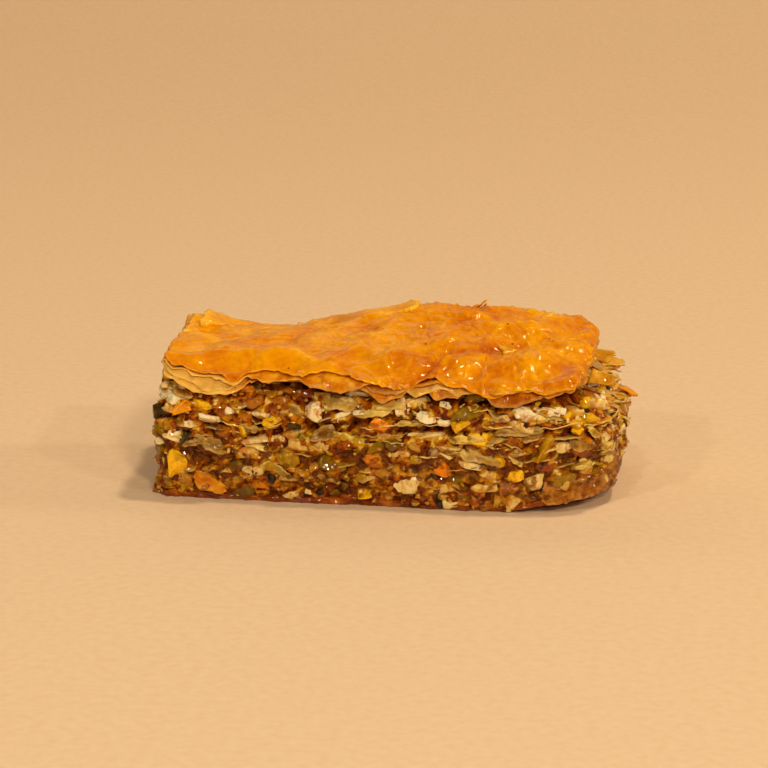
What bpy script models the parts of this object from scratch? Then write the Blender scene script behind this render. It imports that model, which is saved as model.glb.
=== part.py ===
"""A cut bar of baklava, standing on its base.

From the plate up it is a syrup-soaked base pastry, three bands of chopped nuts held apart by
two thin pastry bands, and a domed top crust that overhangs the nuts. Every band is a closed
slab of its own. Lengths in this file are millimetres; MM turns them into metres.
"""

import math
import random

import bmesh
import bpy
from mathutils import Vector

MM = 0.001

# Driving sizes of the cut piece
BODY_LEFT, BODY_RIGHT = -47.6, 51.6
BODY_DEPTH = 45.0
LEFT_SKEW = 3.0          # the left cut leans outwards this much from front to back
END_LIFT = 3.4           # the soft base curls up this much at the right end
END_LIFT_START = 24.0
GAP = 0.35               # clear space between one band and the next
CRUST_GAP = 0.7          # the same under the domed crust

# Heights of the bands at the middle of the piece
BASE_TOP = 2.4
LOWER_NUTS_TOP = 8.7
LOWER_PASTRY_TOP = 11.2
MIDDLE_NUTS_TOP = 15.2
UPPER_PASTRY_TOP = 18.4

# The crust
CRUST_LEFT, CRUST_RIGHT = -45.4, 44.4
CRUST_FRONT, CRUST_BACK = -22.9, 21.2
CRUST_THICKNESS = 3.4
CRUST_RIM_DROP = 1.0     # the crust thins by this much at its edge
EDGE_HOLLOW = 1.0        # extra space under the crust near its edges
CRUST_HEIGHT = 31.5      # top of the crust away from its dome
DOME_RISE = 5.6
DOME_CENTRE = (12.0, 12.0)
DOME_SPREAD = (28.0, 17.0)
DIP_DEPTH = 2.8
DIP_CENTRE = (-26.0, 16.0)
DIP_SPREAD = (11.0, 9.0)
FRONT_DROOP, FRONT_DROOP_START = 4.0, -13.5
BACK_DROOP = 1.3
RIGHT_DROOP = 3.2

# Mesh fineness
CRUST_STATIONS = 100     # points round the crust's edge
BAND_STATIONS = 80       # points round every other band
CRUST_RINGS = (0.06, 0.14, 0.24, 0.36, 0.50, 0.66, 0.84)
DOMED_RINGS = (0.07, 0.16, 0.28, 0.45, 0.68, 0.88)
FLAT_RINGS = (0.14, 0.36)


def smooth(value):
    """Eases from 0 to 1 as value goes from 0 to 1."""
    value = max(0.0, min(1.0, value))
    return value * value * (3.0 - 2.0 * value)


def hill(x, y, centre, spread):
    """A round hill of height 1."""
    across = (x - centre[0]) / spread[0]
    along = (y - centre[1]) / spread[1]
    return math.exp(-across * across - along * along)


def wobble(seed, waves=(2, 3, 5, 8, 13)):
    """A smooth uneven line that closes on itself, between about -1 and 1."""
    rng = random.Random(seed)
    parts = [(n, rng.uniform(0.5, 1.0) / math.sqrt(n), rng.uniform(0.0, math.tau)) for n in waves]
    total = sum(size for _, size, _ in parts)

    def at(turn):
        return sum(size * math.sin(n * math.tau * turn + phase) for n, size, phase in parts) / total

    return at


# ---- surfaces between the bands ------------------------------------------------------------

def end_lift(x, y):
    """How far the base has curled up off the plate towards its right end, most at the front."""
    along = smooth((x - END_LIFT_START) / (BODY_RIGHT - END_LIFT_START))
    nearer_front = 1.0 - 0.45 * smooth((y + BODY_DEPTH / 2) / BODY_DEPTH)
    return END_LIFT * along * nearer_front


def wave(x, y, seed):
    """The slow rise and fall of a pastry band between nuts of uneven size."""
    rng = random.Random(seed)
    height = 0.0
    for length, size in ((34.0, 0.45), (19.0, 0.3), (13.0, 0.2)):
        turn = rng.uniform(0.0, math.tau)
        phase = rng.uniform(0.0, math.tau)
        height += size * math.sin(math.tau * (x * math.cos(turn) + y * math.sin(turn)) / length + phase)
    return height


def interface(level, lift_share, seed):
    """A wavy surface at a height, which follows the curled end by a share of its lift."""
    def at(x, y):
        return level + lift_share * end_lift(x, y) + wave(x, y, seed)

    return at


def underside(x, y):
    """The plate side of the base: flat, apart from the curled right end."""
    return end_lift(x, y)


def crust_form(x, y):
    """The crust's top without its wrinkles: a dome, a dip behind on the left, drooping edges.
    The front edge droops later, and so more steeply, towards the left end."""
    droop_start = FRONT_DROOP_START - 3.0 * smooth((-22.0 - x) / 16.0)
    height = CRUST_HEIGHT
    height += DOME_RISE * hill(x, y, DOME_CENTRE, DOME_SPREAD)
    height -= DIP_DEPTH * hill(x, y, DIP_CENTRE, DIP_SPREAD)
    height -= FRONT_DROOP * smooth((droop_start - y) / (droop_start - CRUST_FRONT))
    height -= BACK_DROOP * smooth((y - 14.0) / 8.0)
    height -= RIGHT_DROOP * smooth((x - 37.0) / 8.0)
    return height


def crust_top(x, y):
    """The crust's top with its broad wrinkles, which fade out at the front and back edges."""
    inside = smooth((23.5 - abs(y)) / 6.0)
    folds = 0.55 * math.sin(0.23 * x + 0.42 * y + 0.9 * math.sin(0.13 * x))
    folds += 0.40 * math.sin(0.47 * x - 0.31 * y + 1.3)
    folds += 0.30 * math.sin(0.62 * y + 0.17 * x + 2.1)
    return crust_form(x, y) + inside * folds


def crust_underside(x, y):
    return crust_form(x, y) - CRUST_THICKNESS


def top_nuts_top(x, y):
    """The top nuts fill the dome and fall a little away from the crust towards every edge."""
    near_end = max(smooth((x - 32.0) / 8.0), smooth((-36.0 - x) / 8.0))
    near_edge = max(smooth((abs(y) - 11.0) / 7.0), near_end)
    return crust_underside(x, y) - CRUST_GAP - EDGE_HOLLOW * near_edge


# ---- outlines in plan ----------------------------------------------------------------------

def rounded_outline(left, right, front, back, corners, stations):
    """Points round a rectangle with its own radius at each corner, anticlockwise from the
    front left. Corners are given front left, front right, back right, back left."""
    centres = (
        (left + corners[0], front + corners[0], corners[0], math.pi),
        (right - corners[1], front + corners[1], corners[1], 1.5 * math.pi),
        (right - corners[2], back - corners[2], corners[2], 0.0),
        (left + corners[3], back - corners[3], corners[3], 0.5 * math.pi),
    )
    line = []
    for x, y, radius, start in centres:
        for step in range(7):
            angle = start + 0.5 * math.pi * step / 6
            line.append(Vector((x + radius * math.cos(angle), y + radius * math.sin(angle))))
    line.append(line[0])
    lengths = [(b - a).length for a, b in zip(line, line[1:])]
    spacing = sum(lengths) / stations
    points = []
    passed, run = 0.0, 0
    for index in range(stations):
        wanted = index * spacing
        while passed + lengths[run] < wanted:
            passed += lengths[run]
            run += 1
        points.append(line[run].lerp(line[run + 1], (wanted - passed) / lengths[run]))
    return points


def cut_outline(left, right, front, back, corners, stations, ragged=0.0, seed=0):
    """A band's outline: the rounded rectangle, skewed at the left end, with ragged edges."""
    points = rounded_outline(left, right, front, back, corners, stations)
    uneven = wobble(seed, waves=(3, 7, 12, 19, 26))
    outline = []
    for index, point in enumerate(points):
        share = smooth((left + 14.0 - point.x) / 14.0)
        back_share = (point.y - front) / (back - front)
        away = outward(point, left, right, back - front)
        moved = point + away * ragged * uneven(index / stations)
        outline.append(moved - Vector((LEFT_SKEW * share * back_share, 0.0)))
    return outline


def spine_point(point, left, right, depth):
    """The nearest point on the line that runs down the middle of the piece."""
    reach = depth / 2
    return Vector((max(left + reach, min(right - reach, point.x)), 0.0))


def outward(point, left, right, depth):
    return (point - spine_point(point, left, right, depth)).normalized()


# ---- slabs ---------------------------------------------------------------------------------

def slab(name, outline, core, bottom, top, bottom_rings, top_rings,
         wall_rows=0, bulge=0.0, hem=0.0, rim_drop=0.0, seed=0):
    """A closed slab between two surfaces. Both faces have the ragged outline as their rim, and
    rings inside it that shrink from the even core outline to the spine. Bands with the same
    core meet in matching facets. wall_rows rows of points stand between the two rims, pushed
    out unevenly by up to bulge. The rims rise and fall by hem, and the upper one sits
    rim_drop lower."""
    rng = random.Random(seed)
    rise = wobble(seed, waves=(5, 9, 14, 23))
    left = min(point.x for point in core)
    right = max(point.x for point in core)
    depth = max(point.y for point in core) - min(point.y for point in core)
    mesh = bmesh.new()

    def rim(surface, drop=0.0):
        made = []
        for index, point in enumerate(outline):
            height = surface(point.x, point.y) + hem * rise(index / len(outline)) - drop
            made.append(mesh.verts.new((point.x * MM, point.y * MM, height * MM)))
        return made

    def ring(share, surface):
        made = []
        for point in core:
            flat = point.lerp(spine_point(point, left, right, depth), share)
            made.append(mesh.verts.new((flat.x * MM, flat.y * MM, surface(flat.x, flat.y) * MM)))
        return made

    def wall_row(share):
        made = []
        for point in outline:
            away = outward(point, left, right, depth) * bulge * rng.uniform(-0.5, 1.0)
            out = point + away
            height = bottom(point.x, point.y) * (1 - share) + top(point.x, point.y) * share
            made.append(mesh.verts.new((out.x * MM, out.y * MM, height * MM)))
        return made

    loops = [ring(share, bottom) for share in reversed(bottom_rings)] + [rim(bottom)]
    loops += [wall_row((row + 1) / (wall_rows + 1)) for row in range(wall_rows)]
    loops += [rim(top, drop=rim_drop)] + [ring(share, top) for share in top_rings]
    for lower, upper in zip(loops, loops[1:]):
        for index in range(len(outline)):
            after = (index + 1) % len(outline)
            mesh.faces.new((lower[index], lower[after], upper[after], upper[index]))
    for loop in (loops[0], loops[-1]):
        edges = [mesh.edges.get((loop[i - 1], loop[i])) for i in range(len(loop))]
        bmesh.ops.triangle_fill(mesh, edges=edges, use_beauty=True)
    bmesh.ops.recalc_face_normals(mesh, faces=mesh.faces)

    data = bpy.data.meshes.new(name)
    mesh.to_mesh(data)
    mesh.free()
    thing = bpy.data.objects.new(name, data)
    bpy.context.scene.collection.objects.link(thing)
    return thing


def finish(thing, colour, roughness, smooth_shaded=False):
    """Gives a slab its own material."""
    material = bpy.data.materials.new(thing.name)
    material.use_nodes = True
    shader = material.node_tree.nodes["Principled BSDF"]
    shader.inputs["Base Color"].default_value = (*colour, 1.0)
    shader.inputs["Roughness"].default_value = roughness
    shader.inputs["Metallic"].default_value = 0.0
    thing.data.materials.append(material)
    if smooth_shaded:
        thing.data.shade_smooth()


# ---- the seven bands -----------------------------------------------------------------------

def body_outline(right, corner, ragged=0.0, seed=0, inset=0.0, left=BODY_LEFT):
    """The outline of a band under the crust. Its ends differ from band to band."""
    half = BODY_DEPTH / 2 - inset
    corners = (3.0, corner, 4.0, 3.0)
    return cut_outline(left, right, -half, half, corners, BAND_STATIONS, ragged, seed)


BODY_CORE = body_outline(BODY_RIGHT - 1.5, 12.0)


def base_pastry():
    outline = body_outline(BODY_RIGHT - 0.8, 15.0, 0.8, seed=11)
    made = slab("base_pastry", outline, BODY_CORE, underside, interface(BASE_TOP, 1.0, 1),
                FLAT_RINGS, FLAT_RINGS)
    finish(made, (0.20, 0.075, 0.022), 0.25)
    return made


def lower_nuts():
    outline = body_outline(BODY_RIGHT - 0.6, 14.0, 0.7, seed=12, inset=0.4)
    above_base = interface(BASE_TOP + GAP, 1.0, 1)
    made = slab("lower_nuts", outline, BODY_CORE, above_base, interface(LOWER_NUTS_TOP, 0.85, 2),
                FLAT_RINGS, FLAT_RINGS, wall_rows=2, bulge=1.5, seed=21)
    finish(made, (0.36, 0.19, 0.045), 0.35)
    return made


def lower_pastry():
    outline = body_outline(BODY_RIGHT, 13.0, 1.1, seed=13, inset=0.1)
    made = slab("lower_pastry", outline, BODY_CORE, interface(LOWER_NUTS_TOP + GAP, 0.85, 2),
                interface(LOWER_PASTRY_TOP, 0.7, 3), FLAT_RINGS, FLAT_RINGS)
    finish(made, (0.52, 0.38, 0.11), 0.3)
    return made


def middle_nuts():
    outline = body_outline(BODY_RIGHT - 0.4, 11.5, 0.7, seed=14, inset=0.4)
    made = slab("middle_nuts", outline, BODY_CORE, interface(LOWER_PASTRY_TOP + GAP, 0.7, 3),
                interface(MIDDLE_NUTS_TOP, 0.55, 4), FLAT_RINGS, FLAT_RINGS,
                wall_rows=1, bulge=1.5, seed=22)
    finish(made, (0.42, 0.25, 0.06), 0.35)
    return made


def upper_pastry():
    outline = body_outline(BODY_RIGHT - 0.5, 10.0, 1.1, seed=15, inset=0.1)
    made = slab("upper_pastry", outline, BODY_CORE, interface(MIDDLE_NUTS_TOP + GAP, 0.55, 4),
                interface(UPPER_PASTRY_TOP, 0.4, 5), FLAT_RINGS, FLAT_RINGS)
    finish(made, (0.60, 0.45, 0.16), 0.3)
    return made


def top_nuts():
    outline = body_outline(BODY_RIGHT - 2.4, 8.0, 0.7, seed=16, inset=0.3, left=BODY_LEFT + 1.7)
    made = slab("top_nuts", outline, BODY_CORE, interface(UPPER_PASTRY_TOP + GAP, 0.4, 5), top_nuts_top,
                FLAT_RINGS, DOMED_RINGS, wall_rows=2, bulge=1.4, seed=23)
    finish(made, (0.50, 0.31, 0.10), 0.35)
    return made


def top_crust():
    outline = cut_outline(CRUST_LEFT, CRUST_RIGHT, CRUST_FRONT, CRUST_BACK,
                          (2.0, 3.0, 3.0, 2.5), CRUST_STATIONS, 0.8, seed=17)
    made = slab("top_crust", outline, outline, crust_underside, crust_top, DOMED_RINGS, CRUST_RINGS,
                hem=0.7, rim_drop=CRUST_RIM_DROP, seed=31)
    finish(made, (0.80, 0.36, 0.03), 0.18, smooth_shaded=True)
    return made


def centre_on_floor(bands):
    """Parents the bands to one empty, which puts the middle of their box over the origin."""
    holder = bpy.data.objects.new("baklava_piece", None)
    bpy.context.scene.collection.objects.link(holder)
    corners = [vertex.co for band in bands for vertex in band.data.vertices]
    low = Vector(min(corner[axis] for corner in corners) for axis in range(3))
    high = Vector(max(corner[axis] for corner in corners) for axis in range(3))
    holder.location = (-(low.x + high.x) / 2, -(low.y + high.y) / 2, -low.z)
    for band in bands:
        band.parent = holder


def main():
    for thing in list(bpy.data.objects):
        bpy.data.objects.remove(thing)
    centre_on_floor([
        base_pastry(),
        lower_nuts(),
        lower_pastry(),
        middle_nuts(),
        upper_pastry(),
        top_nuts(),
        top_crust(),
    ])


main()
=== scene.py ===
import math
import random

import bmesh
import bpy
import numpy as np
from mathutils import Matrix, Vector, noise
from mathutils.bvhtree import BVHTree


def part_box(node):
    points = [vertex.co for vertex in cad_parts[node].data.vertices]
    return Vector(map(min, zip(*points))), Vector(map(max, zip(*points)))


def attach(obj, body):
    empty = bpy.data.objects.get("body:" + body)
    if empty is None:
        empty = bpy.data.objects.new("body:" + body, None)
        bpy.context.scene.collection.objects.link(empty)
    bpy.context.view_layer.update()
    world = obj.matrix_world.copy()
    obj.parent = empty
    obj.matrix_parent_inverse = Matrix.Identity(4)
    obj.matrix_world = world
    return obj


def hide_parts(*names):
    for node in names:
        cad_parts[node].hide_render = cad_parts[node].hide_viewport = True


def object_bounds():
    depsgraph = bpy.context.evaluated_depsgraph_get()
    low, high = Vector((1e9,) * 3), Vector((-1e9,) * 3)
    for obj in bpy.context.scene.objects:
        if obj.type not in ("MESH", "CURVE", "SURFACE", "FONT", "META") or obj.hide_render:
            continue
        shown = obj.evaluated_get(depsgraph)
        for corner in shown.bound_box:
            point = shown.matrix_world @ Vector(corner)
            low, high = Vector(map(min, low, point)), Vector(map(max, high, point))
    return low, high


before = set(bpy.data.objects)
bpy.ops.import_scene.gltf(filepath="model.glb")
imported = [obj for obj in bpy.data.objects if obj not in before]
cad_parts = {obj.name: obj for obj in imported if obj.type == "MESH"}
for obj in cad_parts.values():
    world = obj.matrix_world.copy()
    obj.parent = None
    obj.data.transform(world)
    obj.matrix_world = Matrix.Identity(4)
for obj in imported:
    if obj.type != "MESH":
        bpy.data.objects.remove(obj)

mm = 0.001
cadLow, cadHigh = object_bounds()
scene = bpy.context.scene
crustName = "top_crust"
bandNames = ["base_pastry", "lower_nuts", "lower_pastry", "middle_nuts", "upper_pastry", "top_nuts"]

# lengths in the settings below are millimetres; every mesh is made in millimetres and scaled at the end


# small helpers

def smooth(value):
    value = np.clip(value, 0.0, 1.0)
    return value * value * (3.0 - 2.0 * value)


def lumps(points, size, seed, octaves=2):
    # soft 3D noise, about -1 to 1, whose lumps are `size` mm across
    shift = Vector((seed * 7.31, seed * 3.17, seed * 5.53))
    return np.array([noise.fractal(Vector(p) / size + shift, 1.0, 2.1, octaves) for p in points])


def lineNoise(along, size, seed):
    # the same kind of noise along a line
    return lumps([(a, seed * 13.7, 0.0) for a in along], size, seed, 2)


spotCount = 53      # side of the tables of random spots, after which a pattern would repeat


def nearSpots(flat, size, seed, numbers):
    # how near each point is to one of the spots scattered `size` mm apart, and that spot's last number
    spots = np.random.RandomState(seed).rand(spotCount, spotCount, numbers)
    place = flat / size
    cell = np.floor(place).astype(int)
    near, own = np.full(len(place), 9.0), np.zeros(len(place))
    for a in (-1, 0, 1):
        for b in (-1, 0, 1):
            here = cell + (a, b)
            spot = spots[here[:, 0] % spotCount, here[:, 1] % spotCount]
            away = np.linalg.norm(place - here - spot[:, :2], axis=1)
            own = np.where(away < near, spot[:, -1], own)
            near = np.minimum(near, away)
    return near, own


def spread(low, high, share):
    # a grid that runs from low to high at each station
    return low[:, None] + (high - low)[:, None] * share


def dishes(flat, size, seed):
    # crumpled-paper cells over x and y: 0 in the middle of a cell, rising to thin ridges between cells
    return np.minimum(nearSpots(flat, size, seed, 2)[0], 1.1) ** 2


def grains(flat, size, seed):
    # crumbs pressed together: how proud each point is, 1 on top of a crumb, and its crumb's own number
    near, own = nearSpots(flat, size, seed, 3)
    return 1 - np.minimum(near / 0.8, 1) ** 2, own


# measuring the solids

def treeOf(names):
    # one search tree over the faces of several solids, in millimetres
    corners, faces = [], []
    for name in names:
        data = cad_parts[name].data
        first = len(corners)
        corners += [v.co / mm for v in data.vertices]
        faces += [[first + i for i in f.vertices] for f in data.polygons]
    return BVHTree.FromPolygons(corners, faces)


def fieldOf(name, side):
    # height of a solid's upper (side 1) or lower (side -1) face as a smooth function of x and y
    low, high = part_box(name)
    tree = treeOf([name])
    step = 1.0
    xs = np.arange(low.x / mm - 3, high.x / mm + 3, step)
    ys = np.arange(low.y / mm - 3, high.y / mm + 3, step)
    table = np.full((len(xs), len(ys)), np.nan)
    for i, x in enumerate(xs):
        for j, y in enumerate(ys):
            hit = tree.ray_cast(Vector((x, y, side * 200.0)), Vector((0, 0, -side)))
            if hit[0]:
                table[i, j] = hit[0].z
    while np.isnan(table).any():       # carry the edge heights outwards
        padded = np.pad(table, 1, constant_values=np.nan)
        near = np.stack([padded[1 + a:1 + a + len(xs), 1 + b:1 + b + len(ys)]
                         for a in (-1, 0, 1) for b in (-1, 0, 1)])
        count = (~np.isnan(near)).sum(0)
        mean = np.where(count, np.nansum(near, 0) / np.maximum(count, 1), np.nan)
        table = np.where(np.isnan(table), mean, table)
    for _ in range(2):                 # take the facets off
        padded = np.pad(table, 1, mode="edge")
        table = sum(padded[1 + a:1 + a + len(xs), 1 + b:1 + b + len(ys)] * w * v
                    for a, w in ((-1, 0.25), (0, 0.5), (1, 0.25))
                    for b, v in ((-1, 0.25), (0, 0.5), (1, 0.25)))

    def at(x, y):
        u = np.clip((np.asarray(x, float) - xs[0]) / step, 0, len(xs) - 1.001)
        v = np.clip((np.asarray(y, float) - ys[0]) / step, 0, len(ys) - 1.001)
        i, j = u.astype(int), v.astype(int)
        fu, fv = u - i, v - j
        return ((table[i, j] * (1 - fu) + table[i + 1, j] * fu) * (1 - fv)
                + (table[i, j + 1] * (1 - fu) + table[i + 1, j + 1] * fu) * fv)

    return at


def boxOf(names):
    # lowest and highest corners of several solids together, in millimetres
    boxes = [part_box(name) for name in names]
    low = Vector(min(b[0][k] for b in boxes) / mm for k in range(3))
    high = Vector(max(b[1][k] for b in boxes) / mm for k in range(3))
    return low, high


rayStart, rayLength = 90.0, 85.0      # rays come in from this far out, almost to the middle line
thinnest = 8.0      # a reach below this is a gap between the solids


class Wall:
    # the cut sides of some solids, as points round the piece: distance along, height, distance out

    def __init__(self, names, stations, levelStep=0.5):
        low, high = boxOf(names)
        tree = treeOf(names)
        self.levelStep = levelStep
        levels = np.arange(low.z, high.z + levelStep, levelStep)
        self.lowest = low.z
        self.half = (high.y - low.y) / 2
        self.midY = (high.y + low.y) / 2
        self.left, self.right = low.x + self.half, high.x - self.half
        self.count = stations
        self.rays = [self.ray(i / stations) for i in range(stations)]
        reach = np.zeros((stations, len(levels)))
        for i, (start, away) in enumerate(self.rays):
            for k, z in enumerate(levels):
                origin = Vector((start[0] + away[0] * rayStart, start[1] + away[1] * rayStart, z))
                hit = tree.ray_cast(origin, Vector((-away[0], -away[1], 0)), rayLength)
                reach[i, k] = rayStart - hit[3] if hit[0] else 0.0
        padded = np.pad(reach, ((0, 0), (1, 1)), mode="edge")
        reach = np.maximum(np.maximum(padded[:, :-2], padded[:, 2:]), reach)    # bridge the thin gaps
        for k in range(len(levels) - 2, -1, -1):                                # and the curled-up end
            reach[:, k] = np.where(reach[:, k] < thinnest, reach[:, k + 1], reach[:, k])
        for k in range(1, len(levels)):
            reach[:, k] = np.where(reach[:, k] < thinnest, reach[:, k - 1], reach[:, k])
        reach = (np.roll(reach, 1, 0) + reach * 2 + np.roll(reach, -1, 0)) / 4
        self.reach = reach
        self.starts = np.array([r[0] for r in self.rays])
        self.aways = np.array([r[1] for r in self.rays])
        self.table = self.starts[:, None, :] + self.aways[:, None, :] * reach[:, :, None]
        middle = self.table[:, len(levels) // 2]
        steps = np.linalg.norm(np.roll(middle, -1, 0) - middle, axis=1)
        self.lengthAt = np.concatenate([[0.0], np.cumsum(steps)])
        self.girth = self.lengthAt[-1]
        ahead = np.roll(middle, -4, 0) - np.roll(middle, 4, 0)
        normal = np.stack([ahead[:, 1], -ahead[:, 0]], 1)
        self.normal = normal / np.linalg.norm(normal, axis=1)[:, None]

    def ray(self, share):
        # start on the middle line and direction, from the front left corner round by the right end
        straight, cap = self.right - self.left, math.pi * self.half
        along = (share % 1.0) * 2 * (straight + cap)
        if along < straight:
            return (self.left + along, self.midY), (0.0, -1.0)
        along -= straight
        if along < cap:
            turn = along / self.half - math.pi / 2
            return (self.right, self.midY), (math.cos(turn), math.sin(turn))
        along -= cap
        if along < straight:
            return (self.right - along, self.midY), (0.0, 1.0)
        turn = (along - straight) / self.half + math.pi / 2
        return (self.left, self.midY), (math.cos(turn), math.sin(turn))

    def station(self, along):
        return np.interp(np.asarray(along, float) % self.girth, self.lengthAt, np.arange(self.count + 1))

    def around(self, count):
        # even distances along, all the way round
        return np.arange(count) / count * self.girth

    def normals(self, along):
        s = self.station(along)
        i = s.astype(int) % self.count
        f = (s - np.floor(s))[..., None]
        n = self.normal[i] * (1 - f) + self.normal[(i + 1) % self.count] * f
        return n / np.linalg.norm(n, axis=-1)[..., None]

    def points(self, along, height, out):
        # x, y, z for arrays of distance round the piece, height and distance out from the cut side
        along, height, out = np.broadcast_arrays(*[np.asarray(a, float) for a in (along, height, out)])
        s = self.station(along)
        i, f = s.astype(int) % self.count, (s - np.floor(s))[..., None]
        j = (i + 1) % self.count
        v = np.clip((height - self.lowest) / self.levelStep, 0, self.table.shape[1] - 1.001)
        k, g = v.astype(int), (v - np.floor(v))[..., None]
        flat = ((self.table[i, k] * (1 - f) + self.table[j, k] * f) * (1 - g)
                + (self.table[i, k + 1] * (1 - f) + self.table[j, k + 1] * f) * g)
        flat = flat + self.normals(along) * out[..., None]
        return np.concatenate([flat, height[..., None]], -1)

    def frontAt(self, x):
        # distance along to the point of the front face at x
        middle = self.table[:, self.table.shape[1] // 2]
        gap = np.abs(middle[:, 0] - x) + np.where(self.normal[:, 1] < -0.3, 0, 1000)
        return self.lengthAt[int(np.argmin(gap))]

    def middleLine(self, along):
        # the point of the middle line that belongs to each distance along
        return np.stack([np.interp(along, self.lengthAt, np.append(self.starts[:, k], self.starts[0, k]))
                         for k in (0, 1)], 1)


body = Wall(bandNames, 720)
lid = Wall([crustName], 760, 0.4)
topOf = {name: fieldOf(name, 1) for name in bandNames + [crustName]}
underOf = {name: fieldOf(name, -1) for name in bandNames + [crustName]}
midHeight = 14.0      # half way up the cut sides, where the bands below and above a place are looked up
print("measured the solids: %.0f mm round the body, %.0f mm round the crust" % (body.girth, lid.girth))


# building meshes

class Heap:
    # points and faces of one piece while it grows, with two numbers for its colouring:
    # "mark" at each point, which in some pieces also carries painted light and shade, and "peel" on each face

    def __init__(self):
        self.points, self.faces, self.marks, self.peels, self.count = [], [], [], [], 0

    def add(self, points, faces, mark=0.0, peel=None):
        points = np.asarray(points, float).reshape(-1, 3)
        self.points.append(points)
        self.faces += [[self.count + i for i in face] for face in faces]
        self.marks.append(np.broadcast_to(np.asarray(mark, float).ravel(), (len(points),)))
        self.peels.append(np.zeros(len(faces)) if peel is None else np.asarray(peel, float))
        self.count += len(points)

    def addSheet(self, top, bottom, mark=0.0, wrap=False):
        # a thin closed leaf between two grids of points, with the same marks on both faces
        points, faces = closedSheet(top, bottom, wrap)
        self.add(points, faces, np.tile(np.broadcast_to(mark, top.shape[:2]).ravel(), 2))

    def addRound(self, grid, mark=0.0):
        # a skin whose columns of points run round the piece
        self.add(grid, gridFaces(*grid.shape[:2], wrap=True), mark)

    def piece(self, name, material, slotName, nodes=(), weld=0.0, sharp=None, closed=True):
        mesh = bpy.data.meshes.new(name)
        mesh.from_pydata((np.concatenate(self.points) * mm).tolist(), [], self.faces)
        mark = mesh.attributes.new("mark", "FLOAT", "POINT")
        mark.data.foreach_set("value", np.concatenate(self.marks).astype(np.float32))
        peel = mesh.attributes.new("peel", "FLOAT", "FACE")
        peel.data.foreach_set("value", np.concatenate(self.peels).astype(np.float32))
        if closed:
            loose = bmesh.new()
            loose.from_mesh(mesh)
            if weld:
                bmesh.ops.remove_doubles(loose, verts=loose.verts, dist=weld * mm)
                bmesh.ops.dissolve_degenerate(loose, edges=loose.edges, dist=weld * mm * 0.1)
            bmesh.ops.recalc_face_normals(loose, faces=loose.faces)
            loose.to_mesh(mesh)
            loose.free()
        mesh.shade_smooth()
        if sharp:
            mesh.set_sharp_from_angle(angle=math.radians(sharp))
        mesh.validate()
        thing = bpy.data.objects.new(name, mesh)
        scene.collection.objects.link(thing)
        thing.data.materials.append(material)
        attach(thing, "root")
        if nodes:
            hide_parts(*nodes)
        triangles = sum(len(face) - 2 for face in self.faces)
        heaps.append(triangles)
        print("  %s: %d triangles" % (name, triangles))
        return thing


heaps = []      # triangles of each piece made so far


def gridFaces(columns, rows, wrap=False):
    # quads over a grid of points stored column by column
    faces = []
    for c in range(columns if wrap else columns - 1):
        here, after = c * rows, ((c + 1) % columns) * rows
        for r in range(rows - 1):
            faces.append([here + r, after + r, after + r + 1, here + r + 1])
    return faces


def closedSheet(top, bottom, wrap=False):
    # a thin closed leaf between two grids [columns, rows, 3]; with wrap its columns run round the piece
    columns, rows = top.shape[:2]
    size = columns * rows
    upper = gridFaces(columns, rows, wrap)
    faces = upper + [[size + i for i in reversed(face)] for face in upper]
    for c in range(columns if wrap else columns - 1):
        here, after = c * rows, ((c + 1) % columns) * rows
        faces.append([after, here, size + here, size + after])
        faces.append([here + rows - 1, after + rows - 1, size + after + rows - 1, size + here + rows - 1])
    if not wrap:
        for r in range(rows - 1):
            faces.append([r, r + 1, size + r + 1, size + r])
            last = (columns - 1) * rows
            faces.append([last + r + 1, last + r, size + last + r, size + last + r + 1])
    return np.concatenate([top.reshape(-1, 3), bottom.reshape(-1, 3)]), faces


def capOf(edge, middle, field, rings, offset=0.0):
    # rings of points that close a wall from the middle line out to just inside its edge
    made = []
    for ring in np.linspace(0, 1, rings + 1)[:-1]:
        flat = middle + (edge[:, :2] - middle) * ring
        made.append(np.column_stack([flat, field(flat[:, 0], flat[:, 1]) + offset]))
    return np.stack(made, 1)


# materials

def linear(hexColour):
    # sRGB hex to the linear colour that shaders use
    parts = [int(hexColour[i:i + 2], 16) / 255 for i in (1, 3, 5)]
    return [p / 12.92 if p <= 0.04045 else ((p + 0.055) / 1.055) ** 2.4 for p in parts] + [1.0]


def addNode(tree, kind, settings=None, links=None):
    # one node with its settings and links; "stops" fills a colour ramp
    made = tree.nodes.new("ShaderNode" + kind)
    for key, value in (settings or {}).items():
        if key == "stops":
            ramp = made.color_ramp
            while len(ramp.elements) > 1:
                ramp.elements.remove(ramp.elements[-1])
            ramp.elements[0].position, ramp.elements[0].color = value[0][0], linear(value[0][1])
            for place, colour in value[1:]:
                ramp.elements.new(place).color = linear(colour)
        elif isinstance(key, int) or key in made.inputs:
            made.inputs[key].default_value = linear(value) if isinstance(value, str) else value
        else:
            setattr(made, key, value)
    for key, source in (links or {}).items():
        tree.links.new(source, made.inputs[key])
    return made


def newMaterial(name):
    material = bpy.data.materials.new(name)
    material.use_nodes = True
    material.node_tree.nodes.clear()
    return material, material.node_tree


amberSheen = "#ffb450"      # light that the syrup gives back is warm


def perMetre(size):
    # scale of a pattern whose features are `size` mm across, for coordinates in metres
    return 1.0 / (size * mm)


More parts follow.
